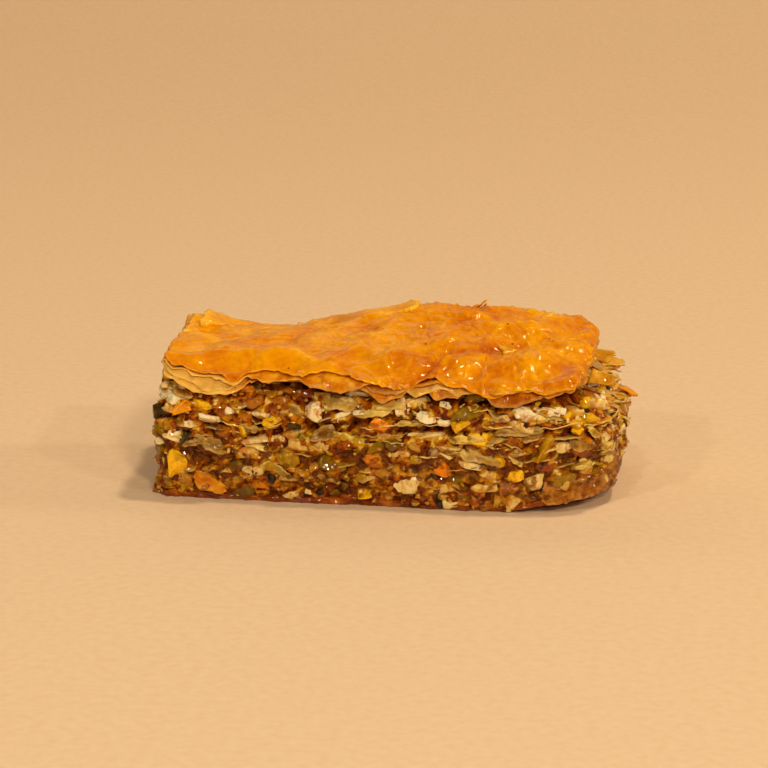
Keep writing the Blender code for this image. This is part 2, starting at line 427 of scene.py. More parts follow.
def syrupyFood(name, stops, wetStops, look):
    # a food coated in sugar syrup: its tone comes from the mark, and it is browner and wetter low down
    material, tree = newMaterial(name)
    place = addNode(tree, "TexCoord").outputs["Object"]
    mark = addNode(tree, "Attribute", {"attribute_name": "mark"}).outputs["Fac"]
    peel = addNode(tree, "Attribute", {"attribute_name": "peel"}).outputs["Fac"]
    patches = addNode(tree, "TexNoise", {"Scale": perMetre(look["patchSize"]), "Detail": 4.0,
                                         "Roughness": 0.65}, {"Vector": place}).outputs["Fac"]
    mixed = addNode(tree, "Math", {"operation": "MULTIPLY_ADD", 1: look["patchAmount"]},
                    {0: patches, 2: mark}).outputs[0]
    pick = addNode(tree, "Math", {"operation": "SUBTRACT", 1: look["patchAmount"] / 2},
                   {0: mixed}).outputs[0]
    dry = addNode(tree, "ValToRGB", {"stops": stops}, {"Fac": pick}).outputs["Color"]
    wet = addNode(tree, "ValToRGB", {"stops": wetStops}, {"Fac": pick}).outputs["Color"]
    height = addNode(tree, "SeparateXYZ", links={"Vector": place}).outputs["Z"]
    low, high = look["wetHeights"]
    soak = addNode(tree, "MapRange", {"From Min": high * mm, "From Max": low * mm}, {"Value": height})
    uneven = addNode(tree, "TexNoise", {"Scale": perMetre(5.0), "Detail": 2.0}, {"Vector": place})
    soaked = addNode(tree, "Math", {"operation": "MULTIPLY_ADD", 1: 1.4, 2: -0.7},
                     {0: uneven.outputs["Fac"]}).outputs[0]
    soaked = addNode(tree, "Math", {"operation": "ADD", "use_clamp": True},
                     {0: soak.outputs["Result"], 1: soaked}).outputs[0]
    colour = addNode(tree, "Mix", {"data_type": "RGBA"}, {"Factor": soaked, 6: dry, 7: wet}).outputs[2]
    if "peel" in look:
        colour = addNode(tree, "Mix", {"data_type": "RGBA", 7: look["peel"]},
                         {"Factor": peel, 6: colour}).outputs[2]
    # syrup has stained the nut in places
    soaking = addNode(tree, "TexNoise", {"Scale": perMetre(2.4), "Detail": 4.0, "Roughness": 0.6,
                                         "Distortion": 1.0}, {"Vector": place}).outputs["Fac"]
    stained = addNode(tree, "MapRange", {"From Min": 0.5, "From Max": 0.62, "To Max": look["stained"]},
                      {"Value": soaking}).outputs["Result"]
    colour = addNode(tree, "Mix", {"data_type": "RGBA", 7: look["stain"]},
                     {"Factor": stained, 6: colour}).outputs[2]
    grain = addNode(tree, "TexNoise", {"Scale": perMetre(look["grain"]), "Detail": 3.0},
                    {"Vector": place}).outputs["Fac"]
    bump = addNode(tree, "Bump", {"Strength": look["bump"], "Distance": look["bumpDepth"] * mm},
                   {"Height": grain}).outputs["Normal"]
    rough = addNode(tree, "MapRange", {"To Min": look["roughness"][0], "To Max": look["roughness"][1]},
                    {"Value": grain}).outputs["Result"]
    shader = addNode(tree, "BsdfPrincipled", {
        "IOR": 1.47, "Specular IOR Level": 0.35, "Specular Tint": amberSheen,
        "Subsurface Weight": look["depth"], "Subsurface Scale": 1.2 * mm,
        "Subsurface Radius": (1.0, 0.6, 0.2), "Coat Weight": look["coat"],
        "Coat Roughness": look["coatRoughness"], "Coat IOR": 1.55,
    }, {"Base Color": colour, "Roughness": rough, "Normal": bump})
    beads = addNode(tree, "TexNoise", {"Scale": perMetre(1.7), "Detail": 1.0},
                    {"Vector": place}).outputs["Fac"]
    film = addNode(tree, "Bump", {"Strength": 1.0, "Distance": 0.3 * mm},
                   {"Height": beads}).outputs["Normal"]
    tree.links.new(film, shader.inputs["Coat Normal"])
    addNode(tree, "OutputMaterial", links={"Surface": shader.outputs[0]})
    return material


# filo baked crisp and brushed with syrup: golden orange, deeper where the marks paint shade into its hollows
# and creases, small hard highlights from the glossy coat
def bakedGlazedFilo():
    material, tree = newMaterial("bakedGlazedFilo")
    place = addNode(tree, "TexCoord").outputs["Object"]
    mark = addNode(tree, "Attribute", {"attribute_name": "mark"}).outputs["Fac"]
    broad = addNode(tree, "TexNoise", {"Scale": perMetre(9.0), "Detail": 5.0, "Roughness": 0.6,
                                       "Distortion": 0.5}, {"Vector": place}).outputs["Fac"]
    blister = addNode(tree, "TexNoise", {"Scale": perMetre(1.4), "Detail": 3.0},
                      {"Vector": place}).outputs["Fac"]
    tone = addNode(tree, "Math", {"operation": "MULTIPLY_ADD", 1: 0.3, 2: -0.06},
                   {0: blister}).outputs[0]
    tone = addNode(tree, "Math", {"operation": "MULTIPLY_ADD", 1: 0.85}, {0: broad, 2: tone}).outputs[0]
    tone = addNode(tree, "Math", {"operation": "ADD"}, {0: mark, 1: tone}).outputs[0]
    colour = addNode(tree, "ValToRGB", {"stops": [
        (0.05, "#8a3400"), (0.25, "#b85e00"), (0.42, "#d38400"), (0.62, "#e4a000"), (0.95, "#f2c03c"),
    ]}, {"Fac": tone}).outputs["Color"]
    # a few scorched specks, about half a millimetre across
    specks = addNode(tree, "TexVoronoi", {"Scale": perMetre(4.5)}, {"Vector": place}).outputs["Distance"]
    isSpeck = addNode(tree, "MapRange", {"From Min": 0.04, "From Max": 0.07, "To Min": 0.85,
                                         "To Max": 0.0}, {"Value": specks}).outputs["Result"]
    colour = addNode(tree, "Mix", {"data_type": "RGBA", 7: "#7a2c04"},
                     {"Factor": isSpeck, 6: colour}).outputs[2]
    crinkle = addNode(tree, "TexNoise", {"Scale": perMetre(1.1), "Detail": 5.0, "Roughness": 0.62,
                                         "Distortion": 0.5}, {"Vector": place}).outputs["Fac"]
    bump = addNode(tree, "Bump", {"Strength": 0.5, "Distance": 0.16 * mm},
                   {"Height": crinkle}).outputs["Normal"]
    rough = addNode(tree, "MapRange", {"To Min": 0.3, "To Max": 0.5}, {"Value": broad}).outputs["Result"]
    shader = addNode(tree, "BsdfPrincipled", {
        "IOR": 1.42, "Specular IOR Level": 0.18, "Specular Tint": amberSheen,
        "Subsurface Weight": 0.04, "Subsurface Scale": 1.0 * mm, "Subsurface Radius": (1.0, 0.5, 0.1),
        "Coat Weight": 0.6, "Coat Roughness": 0.12, "Coat IOR": 1.45,
    }, {"Base Color": colour, "Roughness": rough, "Normal": bump})
    brushed = addNode(tree, "TexNoise", {"Scale": perMetre(3.0), "Detail": 1.0},
                      {"Vector": place}).outputs["Fac"]
    film = addNode(tree, "Bump", {"Strength": 1.0, "Distance": 0.16 * mm},
                   {"Height": brushed}).outputs["Normal"]
    tree.links.new(film, shader.inputs["Coat Normal"])
    addNode(tree, "OutputMaterial", links={"Surface": shader.outputs[0]})
    return material


# thin filo leaf under the crust or between the nuts: the mark turns it toward the edge colour, parchment pale
# where it is dry and torn and where a highlight is painted along a lit edge
def filoLeaf(name, stops, edgeAndHighlightColour, coat, wetHeights=None, wetColour=None, depth=0.3, seeThrough=None):
    material, tree = newMaterial(name)
    place = addNode(tree, "TexCoord").outputs["Object"]
    mark = addNode(tree, "Attribute", {"attribute_name": "mark"}).outputs["Fac"]
    island = addNode(tree, "NewGeometry").outputs["Random Per Island"]
    patches = addNode(tree, "TexNoise", {"Scale": perMetre(3.0), "Detail": 5.0, "Roughness": 0.62},
                      {"Vector": place}).outputs["Fac"]
    own = addNode(tree, "Math", {"operation": "MULTIPLY_ADD", 1: 0.4, 2: -0.2}, {0: island}).outputs[0]
    tone = addNode(tree, "Math", {"operation": "ADD"}, {0: patches, 1: own}).outputs[0]
    colour = addNode(tree, "ValToRGB", {"stops": stops}, {"Fac": tone}).outputs["Color"]
    colour = addNode(tree, "Mix", {"data_type": "RGBA", 7: edgeAndHighlightColour},
                     {"Factor": mark, 6: colour}).outputs[2]
    if wetHeights:
        height = addNode(tree, "SeparateXYZ", links={"Vector": place}).outputs["Z"]
        soak = addNode(tree, "MapRange", {"From Min": wetHeights[1] * mm, "From Max": wetHeights[0] * mm,
                                          "To Max": 0.8}, {"Value": height}).outputs["Result"]
        colour = addNode(tree, "Mix", {"data_type": "RGBA", 7: wetColour},
                         {"Factor": soak, 6: colour}).outputs[2]
    # a leaf's own fibres are finer, and are drawn this coarse so that they show
    fibre = addNode(tree, "TexNoise", {"Scale": perMetre(0.9), "Detail": 4.0, "Roughness": 0.6,
                                       "Distortion": 0.6}, {"Vector": place}).outputs["Fac"]
    bump = addNode(tree, "Bump", {"Strength": 0.7, "Distance": 0.2 * mm},
                   {"Height": fibre}).outputs["Normal"]
    rough = addNode(tree, "MapRange", {"To Min": 0.3, "To Max": 0.55}, {"Value": patches}).outputs["Result"]
    shader = addNode(tree, "BsdfPrincipled", {
        "IOR": 1.45, "Specular IOR Level": 0.3, "Specular Tint": amberSheen,
        "Subsurface Weight": depth, "Subsurface Scale": 0.6 * mm, "Subsurface Radius": (1.0, 0.6, 0.2),
        "Coat Weight": coat, "Coat Roughness": 0.08,
    }, {"Base Color": colour, "Roughness": rough, "Normal": bump})
    if seeThrough:
        thick = addNode(tree, "MapRange", {"From Min": 0.35, "From Max": 0.65, "To Min": seeThrough[0],
                                           "To Max": seeThrough[1]}, {"Value": patches}).outputs["Result"]
        thick = addNode(tree, "Math", {"operation": "ADD", "use_clamp": True}, {0: thick, 1: mark}).outputs[0]
        tree.links.new(thick, shader.inputs["Alpha"])
    addNode(tree, "OutputMaterial", links={"Surface": shader.outputs[0]})
    return material


# sizes and heights in mm; all is soaked below the first wet height, and nothing above the second
nutLook = {"patchSize": 1.3, "patchAmount": 0.9, "grain": 0.4, "bump": 0.7, "bumpDepth": 0.12,
           "roughness": (0.35, 0.6), "depth": 0.3, "coat": 0.9, "coatRoughness": 0.05,
           "stain": "#b4660a", "stained": 0.7, "wetHeights": (4.0, 22.0)}
leafWetHeights = (2.0, 12.0)

crustGlaze = bakedGlazedFilo()
# leaf baked under the glaze: amber, paler and drier at its torn edge, where a highlight is also painted in
crustLeaf = filoLeaf("bakedFiloLeaf", [(0.28, "#984c00"), (0.5, "#cc7e04"), (0.7, "#e4a828")], "#f0c668",
                     0.5, depth=0.15)
# leaf between the nuts, full of syrup: straw pale, browner low down where the syrup stands
soakedFilo = filoLeaf("syrupSoakedFilo", [(0.28, "#74500a"), (0.42, "#a07a1a"), (0.55, "#c49c38"),
                                          (0.72, "#e8ce80")], "#f0d48c", 0.9, leafWetHeights, "#9a6208")
# scraps of leaf so soaked that they have gone clear and the nuts show through
thinFilo = filoLeaf("clearSoakedFilo", [(0.3, "#8c5a08"), (0.48, "#ba8e20"), (0.68, "#e6c864")], "#eed084",
                    0.7, leafWetHeights, "#8c5a08", seeThrough=(0.4, 0.85))
# bottom leaves that lie in syrup: dark caramel, wet and glossy
baseFilo = filoLeaf("syrupLoggedBaseFilo", [(0.3, "#642600"), (0.5, "#9c5006"), (0.7, "#cc8824")],
                    "#b07a34", 1.0)
# almond without its skin, chopped: ivory, waxy cut faces, red brown where the skin was left
blanchedAlmond = syrupyFood("choppedAlmond", [(0.0, "#a8721c"), (0.3, "#cca44c"), (0.6, "#e4ca84"),
                                              (0.9, "#f6eac0")],
                            [(0.0, "#86560c"), (0.35, "#b48826"), (0.7, "#d6b45c"), (1.0, "#eed898")],
                            {**nutLook, "peel": "#843c08"})
# pistachio kernel, chopped: yellow to leaf green inside, olive brown skin
pistachio = syrupyFood("choppedPistachio", [(0.0, "#7a5e08"), (0.3, "#a07e0a"), (0.6, "#c89c0c"),
                                            (0.85, "#eab60e"), (1.0, "#f6c81c")],
                       [(0.0, "#664a04"), (0.35, "#906c06"), (0.65, "#b88a08"), (0.9, "#e8ac0c"),
                        (1.0, "#f4be14")], {**nutLook, "peel": "#6a4c10", "stain": "#8c7008", "stained": 0.5})
# walnut and hazelnut, roasted: orange brown and crinkled under the syrup
roastedWalnut = syrupyFood("roastedWalnut", [(0.0, "#7c4804"), (0.5, "#b0700c"), (0.8, "#d88a16"),
                                             (1.0, "#f49c26")],
                           [(0.0, "#643a02"), (0.5, "#98600a"), (0.8, "#cc7e0c"), (1.0, "#f08e12")],
                           {**nutLook, "stain": "#7a3400"})
# pistachio skin and burnt bits: olive black, soaked
darkNut = syrupyFood("darkPistachioSkin", [(0.0, "#141002"), (0.5, "#2c2204"), (1.0, "#4c3a0a")],
                     [(0.0, "#100c02"), (0.5, "#241a04"), (1.0, "#402e08")], {**nutLook, "stain": "#5c4410"})
# nut meal bound with syrup, pressed: wet, dark and amber by turns; its darkest stops also carry the shade
# painted between the crumbs and in the hollows
syrupMash = syrupyFood("syrupMash", [(0.0, "#260500"), (0.2, "#662200"), (0.4, "#a25808"), (0.55, "#b67c0e"),
                                     (0.7, "#c89a1a"), (0.85, "#e4c25c"), (1.0, "#f8e4a4")],
                       [(0.0, "#240400"), (0.22, "#601e00"), (0.42, "#9c4e02"), (0.6, "#b0700a"),
                        (0.75, "#c08c14"), (0.9, "#d8ac4c"), (1.0, "#f0d48a")],
                       {**nutLook, "patchSize": 0.9, "patchAmount": 0.6, "coat": 0.6, "coatRoughness": 0.03,
                        "bump": 0.9, "bumpDepth": 0.25, "grain": 0.4, "depth": 0.1, "stained": 0.3})
print("made the materials")


# chopped nuts

longEdge = 0.8      # edges of a cut face longer than this are split, so that it can be dented


def chopped(look, seed):
    # one chopped nut: a bent and lumpy kernel that a knife has cut flat on a few sides
    dice = random.Random(seed)
    size = np.array([s * dice.uniform(0.88, 1.12) / 2 for s in look["size"]])
    kernel = bmesh.new()
    bmesh.ops.create_icosphere(kernel, subdivisions=look["fineness"], radius=1.0)
    peel = kernel.faces.layers.int.new("peel")
    hasPeel = dice.random() < look.get("peelShare", 0.0)
    ball = np.array([v.co[:] for v in kernel.verts])
    points = np.sign(ball) * np.abs(ball) ** look["square"] * size
    points[:, 2] += look["bend"] * dice.uniform(-1, 1) * (points[:, 0] / size[0]) ** 2
    points *= 1 + look["lumps"] * lumps(ball * 2.2, 1.6, seed, 2)[:, None]
    for vert, point in zip(kernel.verts, points):
        vert.co = point
    for face in kernel.faces:
        face[peel] = hasPeel
    for _ in range(look["chops"]):
        way = np.array([dice.gauss(0, 1) / s for s in size])
        way /= np.linalg.norm(way)
        here = np.array([v.co[:] for v in kernel.verts])
        reach = (here @ way).max() * dice.uniform(*look["bite"])
        cut = bmesh.ops.bisect_plane(kernel, geom=kernel.verts[:] + kernel.edges[:] + kernel.faces[:],
                                     plane_co=way * reach, plane_no=way, clear_outer=True)
        rim = [part for part in cut["geom_cut"] if isinstance(part, bmesh.types.BMEdge)]
        if rim:
            bmesh.ops.contextual_create(kernel, geom=rim)
    bmesh.ops.dissolve_degenerate(kernel, edges=kernel.edges, dist=0.02)
    bmesh.ops.triangulate(kernel, faces=kernel.faces)
    if look.get("dented"):
        long = [edge for edge in kernel.edges if edge.calc_length() > longEdge]
        bmesh.ops.subdivide_edges(kernel, edges=long, cuts=1)
        bmesh.ops.triangulate(kernel, faces=kernel.faces)
        shift = lumps([v.co for v in kernel.verts], look["dented"] * 6, seed + 50, 3) * look["dented"] * 1.5
        kernel.normal_update()
        for vert, way in zip(kernel.verts, shift):
            vert.co += vert.normal * way
    kernel.verts.index_update()
    shape = (np.array([v.co[:] for v in kernel.verts]), [[v.index for v in f.verts] for f in kernel.faces],
             [float(f[peel]) for f in kernel.faces])
    kernel.free()
    return shape


# size along, across and up; how square and bent; lumps, knife cuts and how deep they bite; dents; mesh
# fineness; share with skin; how flat it lies; number, share in each band, tone and room to its neighbours
crumb = {"size": (1.7, 1.2, 0.9), "square": 0.7, "bend": 0.1, "lumps": 0.15, "chops": 6, "bite": (0.3, 0.75),
         "fineness": 1, "flat": 0.5, "room": 0.4}
nutKinds = {
    "almond_slivers": {"material": blanchedAlmond, "size": (6.4, 2.3, 1.7), "square": 0.5, "bend": 0.4,
                       "lumps": 0.1, "chops": 3, "bite": (0.5, 0.9), "dented": 0.07, "fineness": 2,
                       "peelShare": 0.1, "flat": 0.9, "count": 240, "bands": (0.15, 0.3, 0.55),
                       "tone": (0.5, 1.1), "room": 0.66},
    "almond_chunks": {"material": blanchedAlmond, "size": (4.6, 3.0, 2.3), "square": 0.6, "bend": 0.2,
                      "lumps": 0.12, "chops": 5, "bite": (0.4, 0.85), "dented": 0.07, "fineness": 2,
                      "peelShare": 0.1, "flat": 0.75, "count": 280, "bands": (0.22, 0.28, 0.5),
                      "tone": (0.2, 1.0), "room": 0.58},
    "pistachio_chunks": {"material": pistachio, "size": (4.5, 2.9, 2.3), "square": 0.7, "bend": 0.2,
                         "lumps": 0.16, "chops": 5, "bite": (0.4, 0.85), "dented": 0.1, "fineness": 2,
                         "peelShare": 0.2, "flat": 0.75, "count": 230, "bands": (0.45, 0.25, 0.3),
                         "tone": (0.1, 0.9), "room": 0.6},
    "walnut_chunks": {"material": roastedWalnut, "size": (4.5, 3.1, 2.3), "square": 0.75, "bend": 0.2,
                      "lumps": 0.28, "chops": 3, "bite": (0.45, 0.9), "dented": 0.14, "fineness": 2,
                      "flat": 0.75, "count": 170, "bands": (0.35, 0.3, 0.35), "tone": (0.3, 0.9),
                      "room": 0.6},
    "dark_bits": {"material": darkNut, "size": (2.6, 2.0, 1.5), "square": 0.75, "bend": 0.1, "lumps": 0.25,
                  "chops": 4, "bite": (0.4, 0.9), "fineness": 2, "flat": 0.4, "count": 60,
                  "bands": (0.4, 0.25, 0.35), "tone": (0.0, 1.0), "room": 0.55},
    "almond_crumbs": {**crumb, "material": blanchedAlmond, "count": 560, "bands": (0.3, 0.26, 0.44),
                      "tone": (0.05, 0.8)},
    "pistachio_crumbs": {**crumb, "material": pistachio, "count": 480, "bands": (0.4, 0.25, 0.35),
                         "tone": (0.1, 0.9)},
    "walnut_crumbs": {**crumb, "material": roastedWalnut, "size": (1.6, 1.2, 0.9), "lumps": 0.2, "count": 420,
                      "bands": (0.38, 0.25, 0.37), "tone": (0.15, 0.8)},
}
nutBands = [("lower_nuts", "base_pastry", "lower_pastry"), ("middle_nuts", "lower_pastry", "upper_pastry"),
            ("top_nuts", "upper_pastry", None)]

# nuts set one by one on the cut front: kind, x, height, size along, across the wall and up, lean in degrees,
# tone and how far the nut stands out
setNuts = [
    ("almond_chunks", -12.9, 20.4, (4.5, 3.4, 4.6), 8, 1.0, 0.5),
    ("almond_slivers", -1.5, 20.8, (6.2, 2.6, 1.5), -4, 1.0, 0.5),
    ("almond_slivers", -7.4, 19.7, (5.6, 2.6, 1.6), 20, 0.9, 0.4),
    ("walnut_chunks", 1.5, 18.1, (6.2, 4.0, 3.6), -8, 0.95, 0.4),
    ("almond_chunks", 6.0, 22.3, (3.4, 3.4, 4.2), 12, 0.75, 0.3),
    ("walnut_chunks", 3.6, 22.2, (3.0, 2.6, 3.4), -20, 0.8, 0.0),
    ("almond_slivers", 11.4, 20.2, (4.3, 2.8, 2.0), -6, 0.95, 0.5),
    ("almond_slivers", 15.4, 19.7, (4.4, 2.8, 2.0), 14, 0.95, 0.4),
    ("pistachio_chunks", 19.8, 21.2, (6.4, 4.2, 3.0), 16, 0.05, 0.7),
    ("pistachio_chunks", 18.8, 19.2, (4.8, 4.0, 3.2), 30, 0.8, 0.9),
    ("pistachio_chunks", 22.6, 15.5, (5.0, 3.2, 3.2), -10, 0.95, 0.5),
    ("almond_slivers", 11.2, 16.0, (8.0, 2.6, 1.9), 8, 0.7, 0.4),
    ("almond_slivers", 15.6, 13.6, (7.0, 2.6, 1.7), -6, 0.6, 0.4),
    ("walnut_chunks", 0.2, 10.5, (4.8, 3.4, 3.4), 10, 0.85, 0.4),
    ("almond_chunks", 6.2, 11.6, (4.0, 3.0, 3.0), -12, 0.55, 0.3),
    ("pistachio_chunks", 9.8, 10.8, (3.8, 3.0, 2.6), 20, 0.55, 0.3),
    ("walnut_chunks", 15.2, 8.6, (4.6, 3.4, 3.6), -6, 1.0, 0.6),
    ("almond_chunks", 8.2, 4.9, (7.8, 3.0, 4.0), 6, 0.8, 0.5),
    ("almond_slivers", 21.2, 9.6, (6.6, 3.0, 2.0), -18, 0.85, 0.5),
    ("almond_slivers", 24.6, 7.8, (6.0, 2.8, 1.8), -24, 0.75, 0.4),
    ("walnut_chunks", 30.9, 10.8, (7.0, 4.0, 3.6), -12, 0.35, 0.5),
    ("pistachio_chunks", 26.9, 10.9, (2.4, 2.4, 3.0), 10, 0.9, 0.6),
    ("pistachio_chunks", 30.1, 7.3, (4.6, 3.4, 3.6), 14, 1.0, 0.7),
    ("pistachio_chunks", 36.6, 14.4, (7.6, 3.4, 3.2), 50, 0.6, 0.5),
    ("pistachio_chunks", 42.0, 21.4, (3.2, 2.6, 2.6), 30, 0.85, 0.4),
    ("pistachio_chunks", 44.2, 18.6, (3.2, 2.6, 2.2), 24, 0.85, 0.4),
    ("pistachio_chunks", -43.4, 7.4, (4.6, 3.6, 6.6), -14, 1.0, 0.9),
    ("walnut_chunks", -38.8, 5.4, (3.4, 2.8, 2.6), 20, 0.4, 0.0),
    ("dark_bits", -17.4, 17.1, (3.6, 2.6, 1.9), -4, 0.1, 0.5),
    ("almond_slivers", -35.6, 17.9, (6.0, 2.6, 1.5), -8, 0.85, 0.5),
    ("almond_chunks", -31.4, 19.6, (2.7, 2.4, 2.4), 10, 0.95, 0.5),
    ("almond_chunks", -39.7, 16.4, (3.3, 2.6, 2.2), -14, 0.9, 0.5),
    ("pistachio_chunks", -28.4, 15.6, (3.1, 2.8, 3.0), 18, 0.95, 0.5),
    ("pistachio_chunks", -22.6, 17.5, (3.0, 2.6, 2.6), -30, 0.9, 0.4),
    ("almond_slivers", -23.9, 13.9, (8.6, 3.0, 2.0), 3, 0.8, 0.5),
    ("pistachio_chunks", -23.2, 8.2, (3.8, 2.8, 2.4), -10, 0.55, 0.3),
    ("pistachio_chunks", -18.6, 9.8, (4.6, 3.0, 4.2), 12, 0.45, 0.3),
    ("pistachio_chunks", -2.5, 2.3, (4.8, 3.2, 3.0), -8, 0.98, 0.6),
    ("almond_chunks", -13.9, 2.6, (2.0, 1.8, 1.6), 0, 0.95, 0.3),
    ("almond_slivers", -18.0, 1.8, (4.0, 2.0, 1.5), 12, 0.8, 0.3),
    ("walnut_chunks", -41.7, 20.4, (3.8, 2.6, 2.2), 28, 0.95, 0.3),
    ("pistachio_chunks", -37.2, 21.0, (4.6, 2.6, 2.2), -10, 0.9, 0.3),
    # these two sit back in the gap under the crust; their low tones are painted shade
    ("walnut_chunks", -26.4, 21.6, (5.0, 3.0, 2.6), 6, 0.45, -0.2),
    ("walnut_chunks", -20.4, 21.8, (4.6, 3.0, 2.8), -8, 0.35, -0.8),
    ("almond_chunks", 32.4, 21.6, (5.4, 3.0, 3.0), -20, 0.9, 0.3),
    ("walnut_chunks", -25.0, 3.6, (4.2, 3.0, 2.6), -6, 0.75, 0.3),
    ("almond_chunks", 34.6, 6.6, (5.4, 2.8, 2.8), 22, 0.7, 0.3),
    ("dark_bits", -33.4, 13.6, (3.6, 2.2, 2.4), 0, 0.0, -0.8),
    ("dark_bits", -40.6, 13.2, (4.0, 2.2, 3.6), 0, 0.3, -0.9),
    ("dark_bits", 12.6, 7.0, (3.0, 2.2, 2.0), 10, 0.3, 0.0),
    # the last three, at the left end, get dark tones that paint the shade falling there
    ("dark_bits", -48.6, 18.6, (3.4, 2.6, 3.0), 20, 0.5, 0.3),
    ("pistachio_chunks", -49.4, 14.6, (3.0, 2.6, 3.4), 10, 0.05, 0.3),
    ("pistachio_chunks", -48.8, 10.4, (3.4, 2.6, 2.8), -20, 0.1, 0.3),
]
# a set nut is cut afresh: squarer and rougher than the scattered ones, without skin
setLook = {"square": 0.6, "lumps": 0.24, "bite": (0.45, 0.88), "dented": 0.16, "fineness": 3,
           "peelShare": 0.0}

taken, takenCell = {}, 4      # where nuts already sit, and the cells of distance along and height
filmCell, filmLevels = 0.5, 72      # the table of how far out the nuts and leaves reach
reached = np.full((int(body.girth / filmCell) + 1, filmLevels), -4.0)


def cellOf(along, height):
    i = (np.asarray(along) % body.girth / filmCell).astype(int)
    return i, np.clip(np.asarray(height) / filmCell, 0, filmLevels - 1).astype(int)


def noteReach(along, height, out):
    # remembers how far out something stands, for the syrup that lies over it
    np.maximum.at(reached, cellOf(along, height), out)


def roomFor(along, height, out, radius, need):
    # True if no nut placed before is much in the way
    cell = (int(along // takenCell), int(height // takenCell))
    for a in (-1, 0, 1):
        for h in (-1, 0, 1):
            for other in taken.get((cell[0] + a, cell[1] + h), ()):
                if math.dist((along, height, out), other[:3]) < need * (radius + other[3]):
                    return False
    taken.setdefault(cell, []).append((along, height, out, radius))
    return True


lowestNut = 0.15      # what would reach below the base is pressed flat
sliced = 0.2      # share that is left of what stands too far out


def setNut(heap, shape, scale, turn, along, height, out, proud, tone):
    # drops one nut at a place on the cut side; the knife has sliced what stands too far out
    points, faces, peels = shape
    local = (points * scale) @ np.array(turn.to_3x3()).T
    centre = body.points(along, height, 0.0)
    normal = np.append(body.normals(along), 0.0)
    tangent = np.array([-normal[1], normal[0], 0.0])
    reach = out + local[:, 1]
    reach = np.where(reach > proud, proud + (reach - proud) * sliced, reach)
    world = centre + local[:, :1] * tangent + reach[:, None] * normal + local[:, 2:] * np.array([0, 0, 1.0])
    world[:, 2] = np.maximum(world[:, 2], lowestNut)
    noteReach(along + local[:, 0], height + local[:, 2], reach)
    heap.add(world, faces, tone, peels)


def setByHand(heap, name, look, seed):
    for number, (kind, x, height, size, lean, tone, out) in enumerate(setNuts):
        if kind != name:
            continue
        own = {**look, **setLook, "size": size, "chops": look["chops"] + 3}
        if name == "almond_slivers":
            own["dented"] = 0.1
        along = body.frontAt(x)
        twist = 0.3 * math.sin(number * 7.0)
        turn = Matrix.Rotation(math.radians(-lean), 4, "Y") @ Matrix.Rotation(twist, 4, "X")
        setNut(heap, chopped(own, seed * 1000 + number), 1.0, turn, along, height, out - size[1] / 2 + 0.3,
               out + 0.2, tone)
        for step in np.arange(-size[0] / 2, size[0] / 2 + 0.1, max(1.0, size[2] / 2)):
            cell = (int((along + step) // takenCell), int(height // takenCell))
            taken.setdefault(cell, []).append((along + step, height, out - size[1] / 2, size[2] / 2 + 0.3))


# the gap under the crust: nuts there are set further back, and their tone is lowered as painted shade
shadedRecess = {"left": -28.0, "right": -5.0, "above": 21.4, "deep": 1.4, "tone": 0.6}
bandTone = {"lower_nuts": 0.8, "middle_nuts": 0.9, "top_nuts": 1.0}      # browner the lower they lie
bandOver = {"lower_nuts": 2.0, "middle_nuts": 0.3, "top_nuts": 0.3}      # the lowest hang down over the base
shapesPerKind, triesPerNut = 14, 14


def scatterNuts(heap, look, seed):
    dice = random.Random(seed)
    shapes = [chopped(look, seed * 100 + n) for n in range(shapesPerKind)]
    radius = sum(look["size"]) / 6
    made = 0
    for _ in range(look["count"] * triesPerNut):
        if made == look["count"]:
            break
        band = dice.choices(nutBands, look["bands"])[0]
        along = dice.uniform(0, body.girth)
        x, y, _ = body.points(along, midHeight, -1.0)
        low = float(underOf[band[0]](x, y))
        high = float(topOf[band[0]](x, y)) if band[2] else float(underOf[crustName](x, y))
        height = dice.uniform(low - bandOver[band[0]], max(low + 0.8, high + 0.3))
        out = dice.uniform(-1.4, 0.4) - radius * 0.6
        scale = dice.uniform(0.65, 1.25)
        tone = dice.uniform(*look["tone"]) * bandTone[band[0]]
        # in the gap under the crust a nut sits further back, and its lowered tone is painted shade
        if shadedRecess["left"] < x < shadedRecess["right"] and y < 0 and height > shadedRecess["above"]:
            out, tone = out - shadedRecess["deep"], tone * shadedRecess["tone"]
        if not roomFor(along, height, out, radius * scale, look["room"]):
            continue
        flat = look["flat"]
        turn = (Matrix.Rotation(dice.gauss(0, 1) * (1 - flat) * 1.3, 4, "Y")
                @ Matrix.Rotation(dice.uniform(-1, 1) * (0.5 if dice.random() < flat else 1.6), 4, "Z")
                @ Matrix.Rotation(dice.uniform(0, math.tau), 4, "X"))
        setNut(heap, dice.choice(shapes), scale, turn, along, height, out, dice.uniform(0.2, 1.1), tone)
        made += 1


def makeNuts():
    pieces = {name: Heap() for name in nutKinds}
    for number, (name, look) in enumerate(nutKinds.items()):
        setByHand(pieces[name], name, look, 5 + number)
    for number, (name, look) in enumerate(nutKinds.items()):
        scatterNuts(pieces[name], look, 11 + number)
        pieces[name].piece(name, look["material"], "nuts", sharp=38)


makeNuts()
print("scattered the nuts")


# leaves of filo along the cut sides

